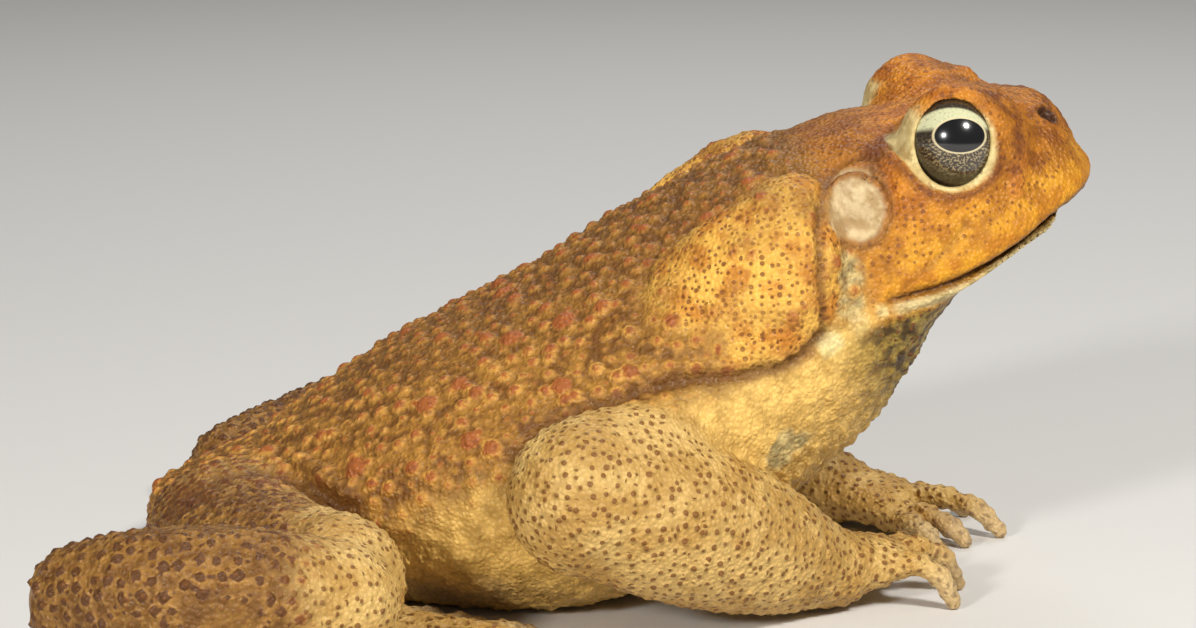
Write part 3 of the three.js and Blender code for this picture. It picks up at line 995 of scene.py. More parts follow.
def sampled(distance: Distance, lines: tuple[Array, Array, Array], block: int = 8) -> Array:
    """Distances on a grid, worked out in full only in the blocks that the surface may cross.

    Args:
        distance: the shape.
        lines: the places of the grid's planes across x, y and z, each a whole number of blocks long.
        block: how many planes a block is deep.

    Returns:
        The distances, and in blocks far from the surface the distance of the block's middle.
    """
    middles = [line.reshape(-1, block).mean(1) for line in lines]
    grid = np.stack(np.meshgrid(*middles, indexing="ij"), axis=-1).reshape(-1, 3).astype(np.float32)
    coarse = distance(grid)
    spans = [np.ptp(line.reshape(-1, block), axis=1) for line in lines]
    span = np.linalg.norm(np.stack(np.meshgrid(*spans, indexing="ij"), axis=-1).reshape(-1, 3), axis=1)
    active = np.nonzero(np.abs(coarse) < span * 0.9 + 1.6)[0]
    counts = [len(middle) for middle in middles]
    values = np.broadcast_to(coarse.reshape(*counts, 1, 1, 1), (*counts, block, block, block)).copy()
    flat = values.reshape(-1, block, block, block)
    i, j, k = np.unravel_index(active, counts)
    inner = np.stack(np.meshgrid(*[np.arange(block)] * 3, indexing="ij"), axis=-1)
    for few in np.array_split(np.arange(len(active)), max(1, len(active) // 1500)):
        places = [
            lines[axis][(start[few, None, None, None] * block + inner[None, ..., axis])]
            for axis, start in enumerate((i, j, k))
        ]
        points = np.stack(places, axis=-1).reshape(-1, 3).astype(np.float32)
        flat[active[few]] = distance(points).reshape(-1, block, block, block)
    return values.transpose(0, 3, 1, 4, 2, 5).reshape([len(line) for line in lines])


def spaced(low: float, high: float, spacing: Curve, block: int = 8) -> Array:
    """Planes from low to past high, whose gaps follow a curve, and whose number fills whole blocks."""
    places = [low]
    while places[-1] < high or len(places) % block:
        places.append(places[-1] + float(spacing(np.array(places[-1]))))
    return np.array(places, np.float32)


# The kinds of warts, and the places on the right side of those that stand out, of spots and of creases

BIG_WARTS = Warts(7.5, (1.3, 1.8), 1.05, 3, 0.66, (0.6, 1.0))
MIDDLE_WARTS = Warts(2.2, (0.7, 1.4), 0.78, 5, 0.5, (0.4, 1.0))
RUMP_WARTS = Warts(1.7, (0.85, 1.2), 0.7, 15, 0.58, (0.6, 1.0))
SMALL_WARTS = Warts(1.3, (0.55, 0.75), 0.34, 7, 0.5, (0.0, 0.5))
PEBBLES = Warts(1.5, (0.7, 0.95), 0.28, 9)
DUSKY = (
    ((37.6, -19.7, 51.7), 1.9), ((34.6, -13.2, 57.0), 2.4), ((48.4, -14.8, 64.1), 1.6),
    ((51.4, -17.5, 59.2), 1.0), ((51.2, -17.7, 57.3), 1.2), ((50.9, -17.9, 55.2), 1.1),
    ((31.5, -22.0, 48.0), 1.6),
)
CREAMY = (((30.2, -26.2, 37.2), 1.3), ((26.7, -27.3, 34.9), 1.8), ((33.0, -24.2, 38.6), 1.2))
NAMED_WARTS = (
    ((-6.2, -19.7, 37.4), 2.0, 1.2), ((-12.6, -17.6, 34.9), 1.9, 1.1), ((-23.4, -21.7, 27.4), 1.8, 1.1),
    ((-23.1, -26.6, 17.5), 1.7, 1.0), ((-19.3, -21.3, 29.9), 1.5, 0.9), ((-32.2, -23.3, 19.7), 1.9, 1.0),
    ((-12.9, -3.3, 38.0), 1.8, 1.1), ((-7.1, -28.4, 30.8), 1.6, 0.9), ((-18.3, -29.2, 24.3), 1.6, 0.9),
    ((30.2, -26.2, 37.2), 1.5, 0.9), ((26.7, -27.3, 34.9), 1.9, 1.1), ((33.0, -24.2, 38.6), 1.3, 0.8),
)
MARBLED = (
    ((20.2, -27.8, 21.3), 2.6), ((23.2, -26.2, 22.2), 1.5), ((28.6, -25.2, 43.6), 2.4),
    ((29.4, -25.6, 39.5), 1.8),
)
HIP_FOLD = Curve((
    (-60, 14.6), (-51.4, 16.6), (-48.3, 17.4), (-44.6, 17.6), (-40.2, 17.0), (-35.9, 15.9), (-32.7, 14.6),
    (-28, 12.5),
))
FOLDS = (
    Crease((
        (-12.6, -32.2, 22.8), (-11.1, -31.6, 24.7), (-8.4, -31.2, 26.5), (-4.6, -31.7, 28.2),
        (-1.0, -31.8, 29.4), (2.4, -31.5, 30.4), (5.4, -31.4, 31.1), (9.8, -30.9, 32.0),
        (14.8, -30.4, 31.8), (19.9, -29.2, 32.6), (22.5, -28.4, 33.4), (25.4, -27.3, 36.4),
    ), 0.9, 1.0),
    Crease((
        (25.4, -27.3, 36.4), (25.3, -28, 39.5), (24.9, -28.2, 44.3), (24.9, -26.6, 48.6), (25.3, -24, 52),
    ), 0.65, 0.65),
    Crease((
        (3.0, -31.8, 32.2), (1.8, -29.3, 33.3), (2.0, -26.8, 35.9), (4.0, -21, 41.6), (6.6, -13.1, 46.5),
        (9.7, -5.1, 50.5),
    ), 0.8, 0.4),
    Crease((
        (-51.4, -20.9, 16.4), (-48.3, -18.2, 17.5), (-44.6, -17.5, 17.8), (-40.2, -19, 17.3),
        (-35.9, -22.2, 16.4), (-32.7, -25.3, 15.1),
    ), 1.6, 0.8),
    Crease((
        (35.8, -14.6, 57.4), (33.6, -15.8, 56.3), (31.6, -14.2, 56.4), (29.0, -14.6, 55.5),
        (27.2, -16.2, 54.1), (25.9, -22.6, 52.6), (25.0, -25.4, 50.2),
    ), 0.55, 0.5),
    Crease(((27.0, -25.9, 47.2), (28.5, -25, 42.6), (29.2, -25.8, 38)), 0.4, 0.35),
    Crease(((31.0, -23.4, 46.4), (30.6, -24.4, 43.5), (31.6, -25.2, 39.5)), 0.35, 0.3),
    Crease(((33.6, -23.2, 46.8), (33.4, -24.1, 44.7), (34.3, -24.8, 42.2)), 0.35, 0.25),
    Crease(((36, -24.8, 41.8), (39.9, -23.8, 44.5), (42.6, -22.4, 47), (44.3, -21.5, 49.1)), 0.4, 0.3),
)


@dataclass
class Toad:
    """The animal's flesh and skin: the distance to it, the net over it, and its relief and masks."""

    body: Body = Body()
    face: Face = Face()
    arms: tuple[Arm, ...] = (RIGHT_ARM, LEFT_ARM)
    legs: tuple[Leg, ...] = (RIGHT_LEG, LEFT_LEG)
    fineness: float = 1.0
    most_triangles: int = 196_000
    low: tuple[float, float, float] = (-76.0, -64.0, -1.8)
    high: tuple[float, float, float] = (66.0, 60.0, 68.0)

    def head_and_body(self, points: Array) -> Array:
        """How far points are from the animal without its limbs."""
        return self.face.join(points, self.body.distance(points))

    def distance(self, points: Array) -> Array:
        """How far points are from the whole animal, cut level where it meets the ground."""
        flesh = self.head_and_body(points)
        for arm in self.arms:
            for limb in arm.limbs:
                flesh = limb.join(points, flesh)
        for leg in self.legs:
            for limb in leg.limbs:
                flesh = limb.join(points, flesh)
            here = leg.limbs[2].near(points, 32.0)
            flesh[here] = joined(flesh[here], leg.web(points[here]), 0.5)
        return -joined(-flesh, points[:, 2], 0.25)

    def net(self) -> Net:
        """The closed net over the whole animal, drawn onto the surface and evened out along it."""
        along = Curve(((-80, 0.62), (10, 0.56), (30, 0.46), (40, 0.42), (70, 0.42)))
        across = Curve(((-70, 0.52), (-12, 0.5), (10, 0.52), (30, 0.6), (70, 0.62)))
        upward = Curve(((-3, 0.52), (10, 0.52), (40, 0.46), (75, 0.44)))
        curves = (along, across, upward)
        spacings = [Curve(tuple((x, gap * self.fineness) for x, gap in curve.knots)) for curve in curves]
        lines = tuple(spaced(low, high, gap) for low, high, gap in zip(self.low, self.high, spacings))
        net = netted(sampled(self.distance, lines), lines)
        LOG.info("net of %d points", len(net.points))
        for _ in range(2):
            net.points += 0.5 * (net.averaged(net.points) - net.points)
            net.points = self.settled(net.points)
        return net

    def probed(self, points: Array, step: float = 0.1) -> tuple[Array, Array]:
        """The distance at points and its slope, from the values at the corners of a small tetrahedron."""
        corners = np.array([(1, -1, -1), (-1, -1, 1), (-1, 1, -1), (1, 1, 1)], np.float32)
        values = np.stack([self.distance(points + corner * step) for corner in corners], axis=1)
        return values.mean(axis=1), values @ corners / (4 * step)

    def settled(self, points: Array) -> Array:
        """Points moved along the slope onto the surface, each by no more than half a millimetre."""
        distance, slope = self.probed(points)
        move = distance[:, None] * slope / (length(slope)[:, None] ** 2 + 0.05)
        return (points - move * np.minimum(1.0, 0.5 / (length(move)[:, None] + 1e-6))).astype(np.float32)

    def regions(self, points: Array) -> dict[Region, Array]:
        """How much each point belongs to each part of the skin, from nought to one.

        Args:
            points: rows of x, y, z on the surface.

        Returns:
            One mask for each part, apart from the warts.
        """
        along, out, up = to_spine(points)
        off_body = self.head_and_body(points)
        hip = ease(points[:, 2] - HIP_FOLD(points[:, 0]), -0.4, 1.0) * ease(-points[:, 0], 28.0, 31.0)
        hip = hip * ease(np.abs(out) - 27.0, 0.0, -3.0)
        limb = ease(off_body, 0.3, 2.2) * (1 - hip)
        ragged = waves(points, 3.0, 21)
        swell = np.maximum.reduce([-pad.distance(points, side) for pad in GLANDS for side in Side])
        gland = ease(swell + 0.7 * ragged, -1.8, 0.8)
        over = up - GAPE_LINE(along)
        head = ease(along, 31.0, 36.0) * (1 - limb)
        back = ease(up + 1.2 * ragged, -7.5, 0.0) * (1 - head) * (1 - limb) * (1 - gland)
        belly = ease(1.2 * ragged - up, -0.5, 5.0) * (1 - limb) * ease(-along, -40.0, -34.0)
        throat = ease(-over, 1.6, 3.2) * ease(along, 24.0, 34.0) * (1 - limb)
        mouth = head * ease(along, GAPE_START - 1.5, GAPE_START + 0.8)
        lip = np.exp(-(((over - 1.7) / 1.4) ** 2)) * mouth
        lower_lip = ease(-over, 0.45, 0.8) * ease(over, -2.3, -1.8) * mouth
        # Painted shadow along the slit between the lips.
        gape = np.exp(-(((over - 0.08) / 0.6) ** 2)) * mouth
        cheek = head * ease(-over - ragged, -12.5, -5.0)
        snout = head * ease(along + 1.5 * ragged, 52.0, 58.0) * ease(over, 4.0, 8.0)
        far = 14.0 * (points[:, 1] > 0)
        rump = limb * ease(far - points[:, 0] + 1.5 * ragged, 35.0, 43.0)
        # Darker along the top of the back: partly the toad's own colour, partly painted shade.
        dorsum = ease(up + 1.5 * ragged, 6.5, 12.0) * ease(-along, -47.0, -41.0) * (1 - limb)
        dorsum = dorsum * (1 - 0.85 * gland)
        # The head's own dark red-brown spots; painted shade is added to this mask below.
        dusk = self.spots(points, DUSKY, 0.6 * ragged)
        # Painted shadow on the top of the thigh, under the hip's fold.
        lower = HIP_FOLD(points[:, 0]) - points[:, 2]
        dusk = np.maximum(dusk, self.hip_range(points) * ease(lower, -0.2, 0.6) * ease(-lower, -5.5, -1.5))
        masks = {
            Region.BACK: back, Region.BELLY: belly, Region.THROAT: throat, Region.LIMB: limb,
            Region.HEAD: head, Region.GLAND: gland * (1 - head) * (1 - limb), Region.LIP: lip,
            Region.GAPE: gape, Region.LOWER_LIP: lower_lip, Region.CHEEK: cheek, Region.SNOUT: snout,
            Region.RUMP: rump, Region.DORSUM: dorsum, Region.PALE: self.spots(points, CREAMY, 0.0),
            Region.MARBLE: self.spots(points, MARBLED, 0.5 * ragged),
        }
        lid = np.zeros(len(points), np.float32)
        drum, rim, nostril, crest = lid.copy(), lid.copy(), lid.copy(), lid.copy()
        for side in Side:
            forward, height, depth, away = self.face.lids.plan(points, side)
            skirt = self.face.lids.skirt(forward, height)
            below = 1 - 0.9 * ease(height, 2.0, 4.5) * ease(forward, -7.0, -3.5)
            facing = ease(depth, -2.6, -0.8) * (away < 12.0)
            lid = np.maximum(lid, ease(-skirt, -0.15, 0.35) * facing * below)
            # Painted shade along the lower edge of the pale lid, over its reddish-brown ring.
            dusk = np.maximum(dusk, np.exp(-(((skirt - 0.55) / 0.6) ** 2)) * facing * ease(-height, 0.0, 4.0))
            edge, lift = self.face.drum_plan(points, side)
            near = (np.abs(lift) < 5.0) & (out * side.value > 0)
            drum = np.maximum(drum, ease(-edge, -0.1, 0.6) * near)
            rim = np.maximum(rim, np.exp(-(((edge - 0.35) / 0.6) ** 2)) * near)
            spot = from_spine(self.face.nostril[0], side.value * self.face.nostril[1], self.face.nostril[2])
            # Painted shade inside the nostril's hole.
            nostril = np.maximum(nostril, ease(-length(points - spot), -1.7, -1.35))
            for ridge in self.face.ridges[side]:
                crest = np.maximum(crest, ease(-ridge.distance(points), -1.1, 0.2))
        tip = np.zeros(len(points), np.float32)
        for limbs in (*self.arms, *self.legs):
            for digit in limbs.digits:
                tip = np.maximum(tip, ease(-length(points - digit.path[-1, :3]), -8.0, -2.0))
        masks |= {
            Region.LID: lid, Region.DRUM: drum, Region.RIM: rim, Region.NOSTRIL: nostril,
            Region.CREST: crest, Region.TIP: tip, Region.DUSK: dusk,
        }
        return masks

    def hip_range(self, points: Array) -> Array:
        """Where the hip's loose skin folds over the thigh: one along the fold, nought beyond its ends."""
        out = np.abs(points[:, 1])
        lengthwise = ease(-points[:, 0], 29.0, 34.0) * ease(points[:, 0], -58.0, -50.0)
        return lengthwise * ease(-out, -27.0, -24.0) * ease(out, 13.0, 16.0)

    def spots(self, points: Array, places: Spots, ragged: Array | float) -> Array:
        """Soft round spots on both sides: one less the distance over each radius, made ragged."""
        best = np.zeros(len(points), np.float32)
        for spot, radius in places:
            for side in Side:
                away = length(points - side.place(spot)) / radius
                best = np.maximum(best, ease(1.2 - away + ragged, 0.0, 0.5))
        return best

    def relief(self, points: Array, masks: dict[Region, Array]) -> tuple[Array, dict[Region, Array]]:
        """How far the skin stands out over the flesh, and where its warts and creases are.

        Args:
            points: rows of x, y, z on the surface.
            masks: the parts of the skin.

        Returns:
            Heights in millimetres, and the masks of warts, of their dark tops, and of creases, which the
            finish darkens with painted shade.
        """
        back, belly, limb, gland = (masks[r] for r in (Region.BACK, Region.BELLY, Region.LIMB, Region.GLAND))
        head, rump, lip = masks[Region.HEAD], masks[Region.RUMP], masks[Region.LIP]
        smooth = 1 - np.maximum.reduce([masks[r] for r in (Region.LID, Region.DRUM, Region.LOWER_LIP)])
        rough = np.clip(back + rump, 0, 1)
        domes = np.zeros(len(points), np.float32)
        tops = np.zeros(len(points), np.float32)
        for spot, radius, height in NAMED_WARTS:
            for side in Side:
                away = length(points - side.place(spot)) / radius
                domes = np.maximum(domes, height * np.clip(1 - away**2, 0, 1) ** 1.3)
                tops = np.maximum(tops, np.clip(1.5 - (away / 0.75) ** 2, 0, 1))
        for warts, share in (
            (BIG_WARTS, 0.7 * back), (MIDDLE_WARTS, back * (1 - rump)),
            (RUMP_WARTS, rump), (SMALL_WARTS, rough),
        ):
            dome, top = warts.grown(points, share * (domes < 0.05))
            domes, tops = np.maximum(domes, dome), np.maximum(tops, top)
        pebbles, _ = PEBBLES.grown(points, 1.0 - 0.9 * rough)
        pebbly = 0.5 * gland + 1.4 * belly + 1.2 * np.clip(limb - rump, 0, 1) + 0.55 * head * (1 - lip)
        height = domes * (rough + 0.2 * gland) + pebbles * pebbly
        crease = np.zeros(len(points), np.float32)
        for fold in FOLDS:
            for side in Side:
                crease = np.maximum(crease, fold.cut(points, side))
        loose = waves(points * (1.3, 1.0, 0.7), 2.6, 11) * 0.3 * belly
        plain_head = head * (1 - masks[Region.SNOUT])
        lumps = waves(points, 5.5, 12) * 0.3 * back + waves(points, 6.5, 13) * 0.35 * gland
        lumps = lumps + waves(points, 4.0, 14) * 0.2 * plain_head
        over = points[:, 2] - HIP_FOLD(points[:, 0]) - 1.9
        pleat = 1.3 * np.exp(-((over / 1.2) ** 2)) * self.hip_range(points)
        height = (height + loose + lumps) * smooth + pleat - crease
        height = height * ease(points[:, 2], 0.0, 0.8)
        return height, {
            Region.WART: np.clip(domes / 0.5, 0, 1) * rough,
            Region.PEAK: tops * np.clip(rough + 0.3 * gland, 0, 1),
            # where the finish paints shade into the creases
            Region.FOLD: np.clip(crease / 0.7, 0, 1),
        }

    def make(self, flesh: Iterable[str]) -> bpy.types.Object:
        """The skin as one closed object with its masks as attributes, in place of the flesh nodes named."""
        net = self.net()
        masks = self.regions(net.points)
        slope = net.averaged(self.probed(net.points)[1])
        normals = slope / (length(slope)[:, None] + 1e-6)
        height, more = self.relief(net.points, masks)
        points = net.points + normals * height[:, None]
        points[:, 2] = np.maximum(points[:, 2], -MODEL_ORIGIN[2])
        attributes = {region.value: mask for region, mask in (masks | more).items()}
        skin = solid("skin", points, net.quads, attributes | {"outward": normals})
        triangles = 2 * len(net.quads)
        if triangles > self.most_triangles:
            skin = thinned(skin, self.most_triangles / triangles)
        LOG.info("skin: %d crumbs swept off", swept(skin))
        LOG.info("skin: %d faces from %d triangles", len(skin.data.polygons), triangles)
        for node in flesh:
            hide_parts(node)
        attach(skin, "root")
        return skin


def solid(name: str, points: Array, faces: Array, attributes: dict[str, Array]) -> bpy.types.Object:
    """A smooth-shaded object from points in millimetres round the modelling origin.

    Args:
        name: what it is called.
        points: rows of x, y, z.
        faces: rows of three or four point numbers.
        attributes: one number, or one row of three, for each point.

    Returns:
        The object, in metres in the frame, at the origin.
    """
    mesh = bpy.data.meshes.new(name)
    mesh.vertices.add(len(points))
    mesh.vertices.foreach_set("co", ((points + MODEL_ORIGIN) * MM).astype(np.float32).ravel())
    sides = faces.shape[1]
    mesh.loops.add(faces.size)
    mesh.loops.foreach_set("vertex_index", faces.astype(np.int32).ravel())
    mesh.polygons.add(len(faces))
    mesh.polygons.foreach_set("loop_start", np.arange(0, faces.size, sides, dtype=np.int32))
    mesh.update(calc_edges=True)
    mesh.validate()
    for key, values in attributes.items():
        kind, slot = ("FLOAT", "value") if values.ndim == 1 else ("FLOAT_VECTOR", "vector")
        mesh.attributes.new(key, kind, "POINT").data.foreach_set(slot, values.astype(np.float32).ravel())
    mesh.shade_smooth()
    made = bpy.data.objects.new(name, mesh)
    bpy.context.scene.collection.objects.link(made)
    return made


def thinned(thick: bpy.types.Object, share: float) -> bpy.types.Object:
    """The object with only a share of its triangles, kept where the shape needs them."""
    modifier = thick.modifiers.new("thinning", "DECIMATE")
    modifier.ratio = share
    fewer = bpy.data.meshes.new_from_object(thick.evaluated_get(bpy.context.evaluated_depsgraph_get()))
    thick.modifiers.remove(modifier)
    old, thick.data = thick.data, fewer
    bpy.data.meshes.remove(old)
    fewer.name = thick.name
    return thick


def swept(made: bpy.types.Object, least: int = 200) -> int:
    """Deletes the crumbs that the net leaves where two sheets of skin touch.

    Args:
        made: a closed object.
        least: the smallest number of faces that is no crumb.

    Returns:
        How many faces went. Two faces are of one piece where they alone share an edge. A piece's number is
        the least number of its faces, found by joining neighbours' numbers until nothing changes.
    """
    mesh = made.data
    edges = np.empty(len(mesh.loops), np.int64)
    mesh.loops.foreach_get("edge_index", edges)
    sides = np.empty(len(mesh.polygons), np.int64)
    mesh.polygons.foreach_get("loop_total", sides)
    order = np.argsort(edges, kind="stable")
    faces = np.repeat(np.arange(len(sides)), sides)[order]
    first, second = faces[np.bincount(edges)[edges[order]] == 2].reshape(-1, 2).T
    number = np.arange(len(sides))
    before = None
    while not np.array_equal(before, number):
        before = number.copy()
        np.minimum.at(number, number[first], number[second])
        np.minimum.at(number, number[second], number[first])
        while not np.array_equal(number, number[number]):
            number = number[number]
    crumbs = np.nonzero(np.bincount(number, minlength=len(sides))[number] < least)[0]
    work = bmesh.new()
    work.from_mesh(mesh)
    work.faces.ensure_lookup_table()
    bmesh.ops.delete(work, geom=[work.faces[i] for i in crumbs], context="FACES")
    work.to_mesh(mesh)
    work.free()
    return len(crumbs)


@dataclass(frozen=True)
class Eye:
    """An eyeball with a bulging cornea, and a plan of its face for the iris to be painted on."""

    side: Side
    cornea_reach: float = math.radians(52.0)
    cornea_bulge: float = 0.3
    rings: int = 56
    around: int = 112

    def make(self) -> bpy.types.Object:
        """The eyeball: a sphere whose radius swells by (1 − t²)² of the share t of the cornea's reach."""
        polar = np.linspace(0, np.pi, self.rings + 1)[1:-1]
        spin = np.linspace(0, 2 * np.pi, self.around, endpoint=False)
        polar, spin = (grid.ravel() for grid in np.meshgrid(polar, spin, indexing="ij"))
        polar = np.concatenate([[0.0], polar, [np.pi]])
        spin = np.concatenate([[0.0], spin, [0.0]])
        radius = EYE_RADIUS + self.cornea_bulge * np.clip(1 - (polar / self.cornea_reach) ** 2, 0, 1) ** 2
        outward = [np.sin(polar) * np.cos(spin), np.sin(polar) * np.sin(spin), np.cos(polar)]
        local = radius[:, None] * np.stack(outward, axis=1)
        first = 1 + np.arange(self.rings - 2)[:, None] * self.around
        step = np.arange(self.around)[None]
        after = (step + 1) % self.around
        following = first + self.around
        body = np.stack([first + step, following + step, following + after, first + after], axis=-1)
        body = body.reshape(-1, 4)
        last = len(local) - 1
        cap = np.stack([np.zeros(self.around, int), 1 + step[0], 1 + after[0]], axis=1)
        foot_ring = 1 + (self.rings - 2) * self.around
        foot = np.stack([np.full(self.around, last), foot_ring + after[0], foot_ring + step[0]], axis=1)
        triangles = np.concatenate([body[:, [0, 1, 2]], body[:, [0, 2, 3]], cap, foot])
        axes = LOOK.axes(self.side)
        if np.linalg.det(axes) < 0:
            triangles = triangles[:, ::-1]
        points = local @ axes.T + EYE_SPOT.centre(self.side)
        eye = solid(f"eyeball_{self.side.word}", points, triangles, {"iris": local})
        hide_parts(f"eye_{self.side.word}")
        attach(eye, "root")
        LOG.info("eyeball %s: %d triangles", self.side.word, len(triangles))
        return eye


# Finishes

Colour = tuple[float, float, float]
Socket = bpy.types.NodeSocket
MM_PER_METRE = 1000.0


class Graph:
    """A node tree written as calls: each adds a node, fills its inputs, and gives back an output."""

    def __init__(self, tree: bpy.types.NodeTree) -> None:
        """Starts on an empty tree."""
        self.tree = tree
        tree.nodes.clear()

    def fill(self, target: Socket, value: object) -> None:
        """Links an output to an input, or sets the input's own value."""
        if isinstance(value, bpy.types.NodeSocket):
            self.tree.links.new(value, target)
        else:
            target.default_value = (*value, 1.0) if target.type == "RGBA" else value

    def node(self, kind: str, inputs: dict[str | int, object], **settings: object) -> bpy.types.Node:
        """A new node.

        Args:
            kind: its type's name.
            inputs: a value or another node's output for each input, by name or number.
            settings: its other properties.

        Returns:
            The node.
        """
        made = self.tree.nodes.new(kind)
        for key, value in settings.items():
            setattr(made, key, value)
        for key, value in inputs.items():
            self.fill(made.inputs[key], value)
        return made

    def math(self, operation: str, *values: Socket | float, clamp: bool = False) -> Socket:
        """The result of arithmetic on numbers."""
        inputs = dict(enumerate(values))
        return self.node("ShaderNodeMath", inputs, operation=operation, use_clamp=clamp).outputs[0]

    def product(self, first: Socket, *others: Socket | float) -> Socket:
        """Several numbers multiplied."""
        for other in others:
            first = self.math("MULTIPLY", first, other)
        return first

    def line(self, value: Socket, slope: float, start: float) -> Socket:
        """The start, plus the slope times the value."""
        return self.math("MULTIPLY_ADD", value, slope, start)

    def vector(self, operation: str, *values: Socket) -> Socket:
        """The result of arithmetic on vectors."""
        made = self.node("ShaderNodeVectorMath", {}, operation=operation)
        for i, value in enumerate(values):
            self.fill(made.inputs["Scale" if operation == "SCALE" and i == 1 else i], value)
        return made.outputs["Value" if operation in ("LENGTH", "DOT_PRODUCT") else "Vector"]

    def range(self, value: Socket, low: float | Socket, high: float | Socket) -> Socket:
        """A soft step: the share of the way from low to high, from nought to one."""
        inputs = {"Value": value, "From Min": low, "From Max": high}
        return self.node("ShaderNodeMapRange", inputs, interpolation_type="SMOOTHSTEP").outputs["Result"]

    def mix(self, share: Socket | float, first: Socket | Colour, second: Socket | Colour) -> Socket:
        """Two colours mixed by a share of the second."""
        inputs = {0: share, 6: first, 7: second}
        return self.node("ShaderNodeMix", inputs, data_type="RGBA").outputs[2]

    def attribute(self, name: str, output: str = "Fac") -> Socket:
        """One of the mesh's masks, or with the output Vector one of its rows of three."""
        return self.node("ShaderNodeAttribute", {}, attribute_name=name).outputs[output]

    def group(self, tree: bpy.types.NodeTree, **inputs: object) -> bpy.types.Node:
        """A shared effect, with its own values here."""
        made = self.node("ShaderNodeGroup", {}, node_tree=tree)
        for key, value in inputs.items():
            self.fill(made.inputs[key.capitalize()], value)
        return made


def effect(
    name: str, inputs: dict[str, float | None], outputs: Iterable[str]
) -> tuple[Graph, bpy.types.Node, bpy.types.Node]:
    """An empty shared effect.

    Args:
        name: what it is called.
        inputs: the inputs' usual values, and None for a vector.
        outputs: the names of its results, which are numbers.

    Returns:
        Its graph, and the nodes that hold its inputs and its results.
    """
    tree = bpy.data.node_groups.new(name, "ShaderNodeTree")
    graph = Graph(tree)
    for key, value in inputs.items():
        kind = "NodeSocketVector" if value is None else "NodeSocketFloat"
        socket = tree.interface.new_socket(key, in_out="INPUT", socket_type=kind)
        if value is not None:
            socket.default_value = value
    for key in outputs:
        tree.interface.new_socket(key, in_out="OUTPUT", socket_type="NodeSocketFloat")
    return graph, tree.nodes.new("NodeGroupInput"), tree.nodes.new("NodeGroupOutput")


class Effects:
    """The effects that a finish shares, each built once. Places are in metres, sizes in millimetres."""

    def __init__(self) -> None:
        """Builds them."""
        self.specks = self.make_specks()
        self.grain = self.make_grain()
        self.mottle = self.make_mottle()

    @staticmethod
    def make_specks() -> bpy.types.NodeTree:
        """Scattered round specks, flat on the surface, in a share of the cells, with a dome under each."""
        least, spread, dome_share = 0.55, 0.9, 1.9
        graph, given, result = effect(
            "specks",
            {"Place": None, "Outward": None, "Spacing": 1.5, "Size": 0.3, "Softness": 0.1, "Share": 0.8},
            ("Mask", "Height"),
        )
        place, outward = given.outputs["Place"], given.outputs["Outward"]
        scale = graph.math("DIVIDE", MM_PER_METRE, given.outputs["Spacing"])
        cells = graph.node("ShaderNodeTexVoronoi", {"Vector": place, "Scale": scale, "Randomness": 0.75})
        offset = graph.vector("SUBTRACT", cells.outputs["Position"], place)
        depth = graph.vector("DOT_PRODUCT", offset, outward)
        flat = graph.vector("SUBTRACT", offset, graph.vector("SCALE", outward, depth))
        away = graph.math("MULTIPLY", graph.vector("LENGTH", flat), MM_PER_METRE)
        chance = graph.node("ShaderNodeSeparateColor", {"Color": cells.outputs["Color"]})
        there = graph.math("LESS_THAN", chance.outputs["Red"], given.outputs["Share"])
        size = graph.product(graph.line(chance.outputs["Green"], spread, least), given.outputs["Size"])
        edge = graph.math("ADD", size, given.outputs["Softness"])
        mask = graph.range(away, edge, size)
        dome = graph.range(away, graph.product(edge, dome_share), 0.0)
        graph.fill(result.inputs["Mask"], graph.product(mask, there))
        graph.fill(result.inputs["Height"], graph.product(dome, there))
        return graph.tree

    @staticmethod
    def make_grain() -> bpy.types.NodeTree:
        """The fine pebbling of the skin: small raised cells parted by narrow lines, over fine noise."""
        fineness = 1.6
        inputs = {"Place": None, "Spacing": 0.8, "Roughness": 0.5}
        graph, given, result = effect("grain", inputs, ("Height", "Lines"))
        place = given.outputs["Place"]
        scale = graph.math("DIVIDE", MM_PER_METRE, given.outputs["Spacing"])
        cells = graph.node("ShaderNodeTexVoronoi", {"Vector": place, "Scale": scale, "Randomness": 0.9})
        fine_scale = graph.product(scale, fineness)
        fine = graph.node("ShaderNodeTexNoise", {"Vector": place, "Scale": fine_scale, "Detail": 3.0})
        pebble = graph.range(cells.outputs["Distance"], 0.75, 0.1)
        noise = graph.product(fine.outputs["Fac"], given.outputs["Roughness"])
        graph.fill(result.inputs["Height"], graph.math("ADD", pebble, noise))
        graph.fill(result.inputs["Lines"], graph.range(cells.outputs["Distance"], 0.45, 0.75))
        return graph.tree

    @staticmethod
    def make_mottle() -> bpy.types.NodeTree:
        """Soft uneven patches of about a given size."""
        inputs = {"Place": None, "Size": 6.0, "Detail": 2.0, "Low": 0.4, "High": 0.62}
        graph, given, result = effect("mottle", inputs, ("Mask",))
        scale = graph.math("DIVIDE", MM_PER_METRE, given.outputs["Size"])
        noise = graph.node(
            "ShaderNodeTexNoise",
            {"Vector": given.outputs["Place"], "Scale": scale, "Detail": given.outputs["Detail"]},
        )
        mask = graph.range(noise.outputs["Fac"], given.outputs["Low"], given.outputs["High"])
        graph.fill(result.inputs["Mask"], mask)
        return graph.tree


@dataclass(frozen=True)
class Layer:
    """The two colours that mottle one part of the skin, and the size of the mottles in millimetres."""

    region: Region
    light: Colour
    dark: Colour
    size: float


@dataclass(frozen=True)
class Tint:
    """A plain colour over one part of the skin, and its strength."""

    region: Region
    colour: Colour
    strength: float


@dataclass(frozen=True)
class Speckle:
    """Small round specks on the skin.

    Attributes:
        size: their half width in millimetres.
        spacing: the size of the cells that hold one each, in millimetres.
        share: how many of the cells have one.
        strength: how much of their colour shows.
        bump: how far the skin stands out under one, less than nought for a pit.
        colour: of the specks.
    """

    size: float
    spacing: float
    share: float
    strength: float
    bump: float
    colour: Colour


